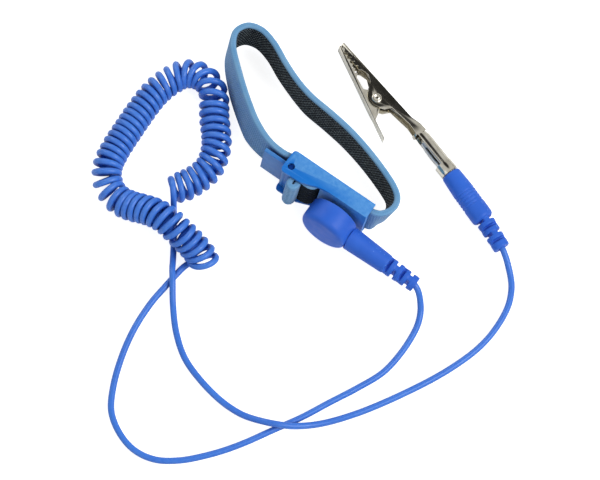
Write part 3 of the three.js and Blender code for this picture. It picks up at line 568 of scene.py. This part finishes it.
def knit_inside():
    """Near-black knit with lengthwise rows of short silvery conductive stitches."""
    finish = Finish("knit_conductive", Roughness=0.75, Specular_IOR_Level=0.1)
    uv = finish.add("ShaderNodeTexCoord").outputs["UV"]
    split = finish.add("ShaderNodeSeparateXYZ", {"Vector": uv})
    along, across = split.outputs["X"], split.outputs["Y"]
    row_pitch, stitch_pitch = 0.95, 1.05
    row = finish.math("FLOOR", finish.math("DIVIDE", across, row_pitch))
    odd = finish.math("MULTIPLY", finish.math("MODULO", row, 2), 0.5)
    down_row = finish.math("FRACT", finish.math("DIVIDE", across, row_pitch))
    along_row = finish.math("FRACT", finish.math("MULTIPLY_ADD", along, 1 / stitch_pitch, odd))
    side = finish.math("ABSOLUTE", finish.math("SUBTRACT", down_row, 0.5))
    end = finish.math("ABSOLUTE", finish.math("SUBTRACT", along_row, 0.5))
    in_row = finish.spread(side, 1, 0, 0.12, 0.24)
    in_stitch = finish.spread(end, 1, 0, 0.24, 0.38)
    silver = finish.math("MULTIPLY", in_row, in_stitch)
    shine = finish.math("MULTIPLY", silver, finish.spread(finish.noise(0.9, 3), 0.25, 0.95))
    # Painted shade: the silver stitches are dimmed where y is low, on the end that comes through the
    # buckle and lies in the shade of its window.
    full_shade_y, no_shade_y = 1 * MM, 4 * MM
    depth = finish.add("ShaderNodeSeparateXYZ", {"Vector": finish.place}).outputs["Y"]
    shine = finish.math("MULTIPLY", shine, finish.spread(depth, 0.1, 1, full_shade_y, no_shade_y))
    ground = finish.tones(finish.noise(0.5, 3), [(0.3, "060c14"), (0.7, "0e1926")])
    finish.link(finish.mix(shine, ground, linear("b4c5cc")), "Base Color")
    finish.link(finish.spread(shine, 0.8, 0.45, 0, 1), "Roughness")
    rib = finish.math("MULTIPLY_ADD", silver, 0.6, finish.math("MULTIPLY", side, -0.8))
    fuzz = finish.bump(finish.noise(0.2, 2), 0.4, 0.04)
    finish.link(finish.bump(rib, 0.7, 0.14, fuzz), "Normal")
    return finish.material


BUCKLE_BLUE = moulded(
    "buckle_blue", dark="1874d4", light="1e7cda", worn="6fb2ee",
    roughness=0.4, grain=0.12, grain_depth=0.05, Specular_IOR_Level=0.22,
)
LEVER_BLUE = moulded(
    "lever_blue", dark="3373c2", light="3c7cca", worn="5fa4e6",
    roughness=0.34, grain=0.12, grain_depth=0.05, Specular_IOR_Level=0.3,
)
VINYL_BLUE = moulded(
    "vinyl_blue", dark="2d66d6", light="3570e0", worn="6f9ef0",
    roughness=0.45, grain=0.2, grain_depth=0.12, Specular_IOR_Level=0.28,
)
# The jacket darkens towards 0a3a96 between the coil's turns: painted shade.
JACKET_BLUE = moulded(
    "jacket_blue", dark="286cdc", light="3078e6", worn="6fa6f4",
    roughness=0.36, grain=0.3, grain_depth=0.08, gap_shade="0a3a96", Specular_IOR_Level=0.45,
)
NICKEL = plated("nickel_plate", dark="b8b3a4", light="dcd8cc", roughness=0.12)
STEEL = plated("steel_sheet", dark="a3a6a8", light="c6c8c9", roughness=0.3)
# Partly painted shade: the lever pin is given a dark blue, darkened further to stand for the shade at
# the bottom of its recess.
PIN_STEEL_IN_SHADE = plated(
    "pin_steel_painted_shade", dark="123a86", light="1c4fa4", roughness=0.5, Specular_IOR_Level=0.3
)
BRASS = plated("brass_turned", dark="a98a4a", light="cdb06a", roughness=0.3)
LACQUER = moulded(
    "resistor_lacquer", dark="86b3c8", light="9cc4d8", worn="c8e0ea",
    roughness=0.4, grain=0.3, grain_depth=0.1, Specular_IOR_Level=0.5,
)
KNIT_BLUE = knit_outside()
KNIT_DARK = knit_inside()

cord, cord_exit, cord_length = make_cord(JACKET_BLUE)

# ------------------------------------------------------------------ mesh helpers


def piece(name, mesh, body, materials, replaced, smooth):
    """A new object that rides on a body and stands for CAD nodes, smooth up to an angle."""
    for material in materials:
        mesh.materials.append(material)
    made = bpy.data.objects.new(name, mesh)
    bpy.context.scene.collection.objects.link(made)
    mesh.shade_smooth()
    mesh.set_sharp_from_angle(angle=math.radians(smooth))
    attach(made, body)
    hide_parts(*replaced)


def evaluated(mesh, modifiers):
    """The mesh with modifiers applied, each given as (kind, settings)."""
    holder = bpy.data.objects.new("holder", mesh)
    bpy.context.scene.collection.objects.link(holder)
    for kind, settings in modifiers:
        modifier = holder.modifiers.new(kind.lower(), kind)
        for key, value in settings.items():
            setattr(modifier, key, value)
    bpy.context.view_layer.update()
    graph = bpy.context.evaluated_depsgraph_get()
    result = bpy.data.meshes.new_from_object(holder.evaluated_get(graph))
    bpy.data.objects.remove(holder)
    return result


def tool_object(mesh):
    """An object for a boolean to use, removed after it."""
    made = bpy.data.objects.new("tool", mesh)
    bpy.context.scene.collection.objects.link(made)
    return made


def cut(mesh, *cutters):
    """The mesh without the space that the cutters fill."""
    tools = [tool_object(cutter) for cutter in cutters]
    result = evaluated(mesh, [
        ("BOOLEAN", {"object": tool, "operation": "DIFFERENCE", "solver": "EXACT"})
        for tool in tools
    ])
    for tool in tools:
        bpy.data.objects.remove(tool)
    return result


def softened(mesh, voxel):
    """One skin over the mesh with softly rounded edges, as a flexible moulding has."""
    return evaluated(mesh, [
        ("REMESH", {"mode": "VOXEL", "voxel_size": voxel * MM, "use_smooth_shade": True}),
        ("SMOOTH", {"factor": 0.5, "iterations": 2}),
    ])


def bevelled(mesh, width, segments):
    """The mesh with its flat facets merged and its sharp edges rounded."""
    shape = bmesh.new()
    shape.from_mesh(mesh)
    bmesh.ops.remove_doubles(shape, verts=shape.verts, dist=0.002 * MM)
    bmesh.ops.dissolve_limit(
        shape, angle_limit=math.radians(1.5), verts=shape.verts, edges=shape.edges
    )
    plain = bpy.data.meshes.new("plain")
    shape.to_mesh(plain)
    shape.free()
    return evaluated(plain, [
        ("BEVEL", {
            "width": width * MM, "segments": segments, "limit_method": "ANGLE",
            "angle_limit": math.radians(38), "use_clamp_overlap": True,
            "miter_outer": "MITER_ARC",
        }),
    ])


def turned(profile, place, segments):
    """A turned mesh from a profile of (x, radius) millimetres along the place's x axis."""
    vertices = []
    faces = []
    rings = []
    for x, radius in profile:
        if radius < 1e-6:
            rings.append([len(vertices)])
            vertices.append(place @ (Vector((x, 0, 0)) * MM))
            continue
        ring = []
        for i in range(segments):
            angle = 2 * math.pi * i / segments
            ring.append(len(vertices))
            point = Vector((x, radius * math.cos(angle), radius * math.sin(angle)))
            vertices.append(place @ (point * MM))
        rings.append(ring)
    for near, far in zip(rings, rings[1:]):
        for i in range(segments):
            j = (i + 1) % segments
            if len(near) == 1:
                faces.append((near[0], far[j], far[i]))
            elif len(far) == 1:
                faces.append((near[i], near[j], far[0]))
            else:
                faces.append((near[i], near[j], far[j], far[i]))
    return outward(vertices, faces)


def outward(vertices, faces):
    """A mesh whose faces all look outward."""
    mesh = bpy.data.meshes.new("shape")
    mesh.from_pydata(vertices, [], faces)
    shape = bmesh.new()
    shape.from_mesh(mesh)
    bmesh.ops.recalc_face_normals(shape, faces=shape.faces)
    shape.to_mesh(mesh)
    shape.free()
    return mesh


def rod(x0, x1, radius, place, segments):
    """A round rod between two values on the place's x axis."""
    return turned([(x0, 0), (x0, radius), (x1, radius), (x1, 0)], place, segments)


def block(x0, x1, y0, y1, z0, z1, place):
    """A box between two values on each axis of a place."""
    corners = [place @ (Vector((x, y, z)) * MM) for x in (x0, x1) for y in (y0, y1) for z in (z0, z1)]
    faces = [(0, 1, 3, 2), (4, 6, 7, 5), (0, 4, 5, 1), (2, 3, 7, 6), (0, 2, 6, 4), (1, 5, 7, 3)]
    return outward(corners, faces)


def rounded(corner_a, corner, corner_b, radius, steps):
    """Points that round a profile's corner between its neighbours."""
    a, c, b = Vector(corner_a), Vector(corner), Vector(corner_b)
    start = c + (a - c).normalized() * radius
    end = c + (b - c).normalized() * radius
    points = []
    for i in range(steps + 1):
        t = i / steps
        points.append(tuple(start * (1 - t) ** 2 + c * 2 * t * (1 - t) + end * t * t))
    return points


# ------------------------------------------------------------------ elastic band

BAND_THICKNESS = 1.9
BAND_MIDDLE_Y = -1.65
BUCKLE_LENGTH = 29.3
WEB_START = 12.9
LEVER_PIN_X = 2.2
TURN_X = 9.3
TURN_RADIUS = 2.3
BEND_RADIUS = 1.6
FOLD_X = 4.3
FOLD_RADIUS = 1.1
STAND_OUT = 0.75
RETURN_LENGTH = 1.1
CURVE_STEP = 0.25
ARC_STEPS = 12
BAND_STEP = 0.45
EDGE_STEPS = 5
SIDE_STEPS = 60
RIB_HEIGHT = 0.045
UNEVEN_HEIGHT = 0.03
UNEVEN_SCALE = 0.9
INSIDE, EDGE, OUTSIDE = 0, 1, 2
RIGHT_LEAN = 2.0
LEFT_LEAN = 1.8

LOOP = [
    (31.9, -0.7), (33.5, 1.4), (34.1, 4.1), (33.1, 6.7), (30.3, 8.9), (26, 10.9), (18.2, 13.7),
    (9.8, 15.9), (2, 17.1), (-6, 18), (-12, 19.6), (-18.4, 22.3), (-25.3, 25.7), (-30.6, 26.9),
    (-34.6, 25.6), (-36.4, 22), (-34.8, 17.9), (-27.4, 10.9), (-19.8, 4.9), (-13.9, 1),
    (-7.6, -1.6),
]


def arc(x, y, radius, start, end):
    """Points on a circle, with angles in degrees."""
    turn = end - start
    angles = (math.radians(start + turn * i / ARC_STEPS) for i in range(ARC_STEPS + 1))
    return [(x + radius * math.cos(a), y + radius * math.sin(a)) for a in angles]


def band_line():
    """The band's middle line from the buckle's fixed end round to its folded free end."""
    back_y = BAND_MIDDLE_Y - 2 * TURN_RADIUS
    fold_y = back_y - BEND_RADIUS - STAND_OUT
    loop = [(BUCKLE_LENGTH - 1.5, BAND_MIDDLE_Y), (BUCKLE_LENGTH, BAND_MIDDLE_Y), *LOOP]
    loop += [(-2.4, -2.1), (LEVER_PIN_X - 1.4, BAND_MIDDLE_Y), (LEVER_PIN_X, BAND_MIDDLE_Y)]
    curve = smooth_line(with_height(loop, 0), CURVE_STEP)
    rest = [
        *arc(TURN_X, BAND_MIDDLE_Y - TURN_RADIUS, TURN_RADIUS, 90, -90),
        *arc(FOLD_X + BEND_RADIUS, back_y - BEND_RADIUS, BEND_RADIUS, 90, 180),
        *arc(FOLD_X + FOLD_RADIUS, fold_y, FOLD_RADIUS, 180, 360),
        (FOLD_X + 2 * FOLD_RADIUS, fold_y + RETURN_LENGTH),
    ]
    start = [Vector((WEB_START + 2, BAND_MIDDLE_Y, 0))]
    return even_line(start + curve + with_height(rest, 0), BAND_STEP)


def band_lean(place):
    """How far the lower edge stands to the inside of the upper one, by the place on the loop."""
    right = ramp(place.x, 30.3, 33) * (1 - ramp(place.y, 4, 11))
    left = ramp(-place.x, 5, 16) * ramp(-place.x, 3, 8) * (1 - ramp(place.y, 8, 24))
    return RIGHT_LEAN * right - LEFT_LEAN * left


def band_section():
    """Points round the band's section: offset from its middle, height above its foot, side."""
    half = BAND_THICKNESS / 2
    edge = half * 0.9
    flat = BAND_WIDTH - 2 * edge
    section = []
    for i in range(SIDE_STEPS + 1):
        section.append((half, edge + flat * i / SIDE_STEPS, INSIDE))
    for i in range(1, EDGE_STEPS + 1):
        angle = math.pi * i / (EDGE_STEPS + 1)
        section.append((half * math.cos(angle), BAND_WIDTH - edge + edge * math.sin(angle), EDGE))
    for i in range(SIDE_STEPS + 1):
        section.append((-half, BAND_WIDTH - edge - flat * i / SIDE_STEPS, OUTSIDE))
    for i in range(1, EDGE_STEPS + 1):
        angle = math.pi * i / (EDGE_STEPS + 1)
        section.append((-half * math.cos(angle), edge - edge * math.sin(angle), EDGE))
    return section


def knitted(offset, up, side, reach):
    """The offset with the ribs and the unevenness that stand out on both faces of the knit."""
    if side == EDGE:
        return offset
    place = Vector((reach * UNEVEN_SCALE, up * UNEVEN_SCALE, side * 7))
    rib = RIB_HEIGHT * math.cos(math.pi * up / WALE_WIDTH) + UNEVEN_HEIGHT * noise.noise(place)
    return offset + math.copysign(rib, offset)


def band_vertices(line, section, stations):
    """The band's section set up at each place of its line."""
    vertices = []
    for i, place in enumerate(line):
        before = line[max(i - 1, 0)]
        after = line[min(i + 1, len(line) - 1)]
        along = (after - before).normalized()
        inside = Vector((-along.y, along.x, 0))
        lean = band_lean(place)
        for offset, up, side in section:
            shift = knitted(offset, up, side, stations[i]) + lean * (1 - up / BAND_WIDTH)
            point = place + inside * shift
            vertices.append(at(point.x, point.y, BAND_BOTTOM + up))
    return vertices


def make_band():
    line = band_line()
    section = band_section()
    stations = reach_along(line)
    count = len(section)
    faces = []
    knits = []
    for i in range(len(line) - 1):
        for j in range(count):
            k = (j + 1) % count
            faces.append((i * count + j, i * count + k, (i + 1) * count + k, (i + 1) * count + j))
            knits.append(1 if section[j][2] == INSIDE and section[k][2] == INSIDE else 0)
    faces.append(tuple(range(count)))
    faces.append(tuple(reversed(range((len(line) - 1) * count, len(line) * count))))
    knits += [0, 0]
    mesh = outward(band_vertices(line, section, stations), faces)
    layer = mesh.uv_layers.new(name="weave")
    for polygon, knit in zip(mesh.polygons, knits):
        polygon.material_index = knit
        for loop_index in polygon.loop_indices:
            index = mesh.loops[loop_index].vertex_index
            layer.data[loop_index].uv = (stations[index // count], section[index % count][1])
    piece("knit_band", mesh, "strap", [KNIT_BLUE, KNIT_DARK], ["elastic_band"], 60)


make_band()

# ------------------------------------------------------------------ buckle and lever


def refined(node, name, body, material, width, smooth=35, segments=3):
    """A CAD node's own shape with rounded edges, standing for that node."""
    mesh = bevelled(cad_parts[node].data, width, segments)
    mesh.materials.clear()
    piece(name, mesh, body, [material], [node], smooth)


refined("buckle_base", "buckle_moulding", "strap", BUCKLE_BLUE, width=0.22)
refined("cam_lever", "lever_moulding", "lever", LEVER_BLUE, width=0.2)

# ------------------------------------------------------------------ snap connector

HEAD_WALL = 1.5
HEAD_FRONT_WALL = 2.2
HEAD_ROUNDING = 2.1
HEAD_EDGE = 0.4
NECK_HOLE_RADIUS = 2.6
BORE_RADIUS = 1.5
NECK_PROFILE = [
    (6.5, 0), (6.5, 2.4), (7.2, 2.4), (7.2, 3.7), (9, 3.62), (20.4, 3.06),
    (NECK_END - 0.3, 3.0), (NECK_END, 2.8), (NECK_END, 0),
]
NECK_RELIEF = (2.9, 2.45)
NECK_VOXEL = 0.13
RELIEF_DISCS = 5
RELIEF_START = -1.2
CORE_STEPS = 8
CORE_OVERLAP = 0.3
CORE_INSET = 0.12

# A disc's rim: how far along from its near or far end, and how far below its full radius.
NEAR_RIM = [(0, 0.2), (0.08, 0.07), (0.22, 0)]
FAR_RIM = [(-0.25, 0), (-0.08, 0.08), (0, 0.22)]


def relief_core(x0, x1, radius, upright, place):
    """What a strain relief's two slots leave between them: a slab with rounded ends."""
    half = math.asin(CORE_HALF / radius)
    outline = []
    for side in (0, math.pi):
        for i in range(CORE_STEPS + 1):
            angle = side - half + 2 * half * i / CORE_STEPS
            along, across = radius * math.cos(angle), radius * math.sin(angle)
            outline.append((across, along) if upright else (along, across))
    count = len(outline)
    corners = [place @ (Vector((x, y, z)) * MM) for x in (x0, x1) for y, z in outline]
    faces = [tuple(range(count)), tuple(range(count, 2 * count))]
    faces += [(i, (i + 1) % count, count + (i + 1) % count, count + i) for i in range(count)]
    return outward(corners, faces)


def relief_parts(place, start_radius, end_radius, first_side):
    """The discs of a strain relief with rounded rims, and the cores between them."""
    slope = (end_radius - start_radius) / RELIEF_LENGTH
    parts = []
    for i in range(RELIEF_DISCS):
        is_last = i == RELIEF_DISCS - 1
        low = SLOT_PITCH * (i - 1) + SLOT_WIDTH if i else RELIEF_START
        high = RELIEF_LENGTH if is_last else SLOT_PITCH * i
        rims = [(low + along, drop) for along, drop in NEAR_RIM]
        rims += [(high + along, drop) for along, drop in FAR_RIM]
        profile = [(x, start_radius + slope * max(x, 0) - drop) for x, drop in rims]
        parts.append(turned([(low, 0), *profile, (high, 0)], place, 80))
        if not is_last:
            start, end = high - CORE_OVERLAP, high + SLOT_WIDTH + CORE_OVERLAP
            radius = start_radius + slope * high - CORE_INSET
            upright = (i + first_side) % 2 == 1
            parts.append(relief_core(start, end, radius, upright, place))
    return parts


def merged(meshes):
    """Closed meshes that overlap, as one mesh for a skin to be laid over."""
    whole = bmesh.new()
    for mesh in meshes:
        whole.from_mesh(mesh)
    result = bpy.data.meshes.new("merged")
    whole.to_mesh(result)
    whole.free()
    return result


def make_snap_head():
    """The drum, open behind, with a slightly domed front and a hole for the neck's root."""
    front = HEAD_DEPTH
    inner = HEAD_RADIUS - HEAD_WALL
    profile = [(front + 0.25, 0), (front + 0.22, 2), (front + 0.14, 4)]
    profile += rounded(
        (front, 0), (front, HEAD_RADIUS), (HEAD_EDGE, HEAD_RADIUS), HEAD_ROUNDING, 10
    )
    profile += rounded((front, HEAD_RADIUS), (0, HEAD_RADIUS), (0, inner), HEAD_EDGE, 3)
    profile += [(0, inner), (front - HEAD_FRONT_WALL, inner), (front - HEAD_FRONT_WALL, 0)]
    along = Matrix.Translation(Vector((0, HEAD_BACK_Y, 0)) * MM) @ Matrix.Rotation(
        -math.pi / 2, 4, "Z"
    )
    shell = turned(profile, head_frame @ along, 128)
    mesh = cut(shell, rod(5, 9, NECK_HOLE_RADIUS, neck_frame, 48))
    piece("snap_drum", mesh, "cord_set", [VINYL_BLUE], ["snap_head_shell"], 40)


def make_neck():
    """The neck with its strain relief, shaped round the drum."""
    relief = neck_frame @ Matrix.Translation(Vector((NECK_END, 0, 0)) * MM)
    across = neck_frame @ Matrix.Rotation(math.pi / 2, 4, "Z")
    drum_space = rod(-9, 9, HEAD_RADIUS + 0.1, across, 128)
    bore = rod(5, 18.6, BORE_RADIUS, neck_frame, 40)
    stem = cut(turned(NECK_PROFILE, neck_frame, 80), drum_space, bore)
    mesh = softened(merged([stem, *relief_parts(relief, *NECK_RELIEF, 0)]), NECK_VOXEL)
    piece("neck_moulding", mesh, "cord_set", [VINYL_BLUE], ["snap_neck"], 60)


make_snap_head()
make_neck()

# ------------------------------------------------------------------ plug and clip

BOOT_FRONT = [(0.0, 0), (0.0, 2.55), (0.15, 2.85), (0.5, 3.05), (3, 3.24), (6.6, 3.42)]
BOOT_REAR = [
    (13.2, 3.5), (16.6, 3.49), (17.1, 3.38), (17.45, 3.15), (17.65, 2.8),
    (BOOT_LENGTH, 2.4), (BOOT_LENGTH, 0),
]
BOOT_BORE_RADIUS = 1.45
BOOT_RELIEF = (2.9, 2.6)
BOOT_VOXEL = 0.14
GROOVE_COUNT = 5
GROOVE_START = 7.4
GROOVE_PITCH = 1.1
GROOVE = [(0, 3.47), (0.14, 3.33), (0.3, 3.27), (0.46, 3.33), (0.6, 3.47)]


def make_boot():
    """The plug's boot with its grip grooves and its strain relief."""
    profile = list(BOOT_FRONT)
    for i in range(GROOVE_COUNT):
        x = GROOVE_START + i * GROOVE_PITCH
        profile += [(x + along, radius) for along, radius in GROOVE]
    body = turned([*profile, *BOOT_REAR], boot_frame, 96)
    # The boot's front is cut square to the clip's barrel.
    front = block(-4, 0, -8, 8, -8, 8, clip_frame)
    bore = rod(-2, 12, BOOT_BORE_RADIUS, clip_frame, 40)
    parts = [cut(body, bore, front), *relief_parts(relief_frame, *BOOT_RELIEF, 1)]
    mesh = softened(merged(parts), BOOT_VOXEL)
    piece("boot_moulding", mesh, "cord_set", [VINYL_BLUE], ["plug_boot"], 60)


make_boot()
for side, body in (("upper", "clip"), ("lower", "jaw")):
    refined(
        f"clip_{side}_jaw", f"clip_sheet_{side}", body, NICKEL,
        width=0.09, smooth=32, segments=2,
    )

RIVET_HALF = 2.35
RIVET_HEAD = [
    (0.01, 0.95), (0.01, 1.5), (0.1, 1.55), (0.24, 1.52), (0.38, 1.38), (0.44, 1.15),
    (0.4, 0.95), (0.26, 0.72), (0.16, 0.5), (0.13, 0.25), (0.13, 0),
]


def make_rivet():
    """The clip's rivet with domed heads that are dished in the middle."""
    head = [(RIVET_HALF + rise, radius) for rise, radius in RIVET_HEAD]
    profile = [(-x, radius) for x, radius in reversed(head)] + head
    upright = clip_frame @ Matrix.Translation(Vector(RIVET_PLACE) * MM) @ Matrix.Rotation(
        -math.pi / 2, 4, "Y"
    )
    mesh = turned(profile, upright, 48)
    piece("jaw_rivet", mesh, "clip", [NICKEL], ["clip_rivet"], 40)


make_rivet()

# ------------------------------------------------------------------ carried-over metal and inner pieces

FINISHES = {
    "contact_plate": STEEL, "lever_pin": PIN_STEEL_IN_SHADE, "stud_rivet": BRASS, "snap_stud": NICKEL,
    "snap_socket": NICKEL, "socket_spring": BRASS, "series_resistor": LACQUER,
    "cord_crimp": BRASS, "banana_pin": NICKEL, "banana_leaves": STEEL, "plug_crimp": BRASS,
    "clip_spring": STEEL,
}
for name, material in FINISHES.items():
    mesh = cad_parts[name].data
    mesh.materials.clear()
    mesh.materials.append(material)

# ------------------------------------------------------------------ floor and light

FLOOR_HALF = 3.0
FLOOR_TONE = 0.8
SEEN_GLOW = 0.82
MIRRORED_GLOW = 0.3


def make_floor():
    """A white floor that glows where it is seen or mirrored."""
    finish = Finish("floor_white", Roughness=0.9, Specular_IOR_Level=0.2)
    finish.shader.inputs["Base Color"].default_value = (FLOOR_TONE, FLOOR_TONE, FLOOR_TONE, 1)
    finish.link(finish.spread(finish.noise(30, 2), 0.85, 0.95), "Roughness")
    rays = finish.add("ShaderNodeLightPath").outputs
    seen = finish.math("MAXIMUM", rays["Is Camera Ray"], rays["Is Transmission Ray"])
    mirrored = finish.math("MULTIPLY", rays["Is Glossy Ray"], MIRRORED_GLOW)
    strength = finish.math("MULTIPLY_ADD", seen, SEEN_GLOW, mirrored)
    glow = finish.add("ShaderNodeEmission", {"Strength": strength})
    both = finish.add("ShaderNodeAddShader", {0: finish.shader.outputs[0], 1: glow.outputs[0]})
    output = finish.tree.nodes["Material Output"]
    finish.tree.links.new(both.outputs[0], output.inputs["Surface"])
    corners = [
        (x * FLOOR_HALF, y * FLOOR_HALF, 0) for x, y in ((-1, -1), (1, -1), (1, 1), (-1, 1))
    ]
    mesh = outward(corners, [(0, 1, 2, 3)])
    mesh.materials.append(finish.material)
    floor = bpy.data.objects.new("floor", mesh)
    bpy.context.scene.collection.objects.link(floor)


# Each light's place, diameter in metres and power in watts.
LIGHTS = {
    "key": ((0.6, 0.15, 0.8), 0.55, 5.6),
    "left": ((-0.75, 0.3, 0.6), 0.7, 2.2),
    "front": ((0.1, -0.85, 0.5), 0.8, 0.7),
}
LIGHTS_TARGET = (0.0, -0.02, 0.0)


def area_light(name, place, size, power):
    """A round light that faces the object."""
    data = bpy.data.lights.new(name, "AREA")
    data.shape = "DISK"
    data.size = size
    data.energy = power
    light = bpy.data.objects.new(name, data)
    bpy.context.scene.collection.objects.link(light)
    light.location = place
    backward = Vector(place) - Vector(LIGHTS_TARGET)
    light.rotation_euler = backward.to_track_quat("Z", "Y").to_euler()


DARK_SPOT = (-0.27, 0.24, 0.932)

# How nearly a direction is that of the dark spot, and the sky's grey there.
SKY_TONES = [(0.0, 0.6), (0.5, 0.95), (0.915, 0.9), (0.945, 0.4), (0.96, 0.04)]
SKY_STRENGTH = 0.45
MIRRORED_EXTRA = 0.35


def make_world():
    """A bright studio with a dark spot above for metal to mirror."""
    world = bpy.data.worlds.new("studio")
    bpy.context.scene.world = world
    world.use_nodes = True
    tree = world.node_tree
    background = tree.nodes["Background"]
    place = tree.nodes.new("ShaderNodeTexCoord")
    toward = tree.nodes.new("ShaderNodeVectorMath")
    toward.operation = "DOT_PRODUCT"
    tree.links.new(place.outputs["Generated"], toward.inputs[0])
    toward.inputs[1].default_value = DARK_SPOT
    fade = tree.nodes.new("ShaderNodeValToRGB")
    tree.links.new(toward.outputs["Value"], fade.inputs["Fac"])
    fill_ramp(fade, [(position, (level, level, level, 1)) for position, level in SKY_TONES])
    tree.links.new(fade.outputs["Color"], background.inputs["Color"])
    # Bright metal mirrors a brighter studio than the one that lights the plain surfaces.
    rays = tree.nodes.new("ShaderNodeLightPath")
    strength = tree.nodes.new("ShaderNodeMath")
    strength.operation = "MULTIPLY_ADD"
    tree.links.new(rays.outputs["Is Glossy Ray"], strength.inputs[0])
    strength.inputs[1].default_value = MIRRORED_EXTRA
    strength.inputs[2].default_value = SKY_STRENGTH
    tree.links.new(strength.outputs["Value"], background.inputs["Strength"])


make_floor()
make_world()
for light_name, (place, size, power) in LIGHTS.items():
    area_light(light_name, place, size, power)

bpy.context.scene.view_settings.view_transform = "Standard"
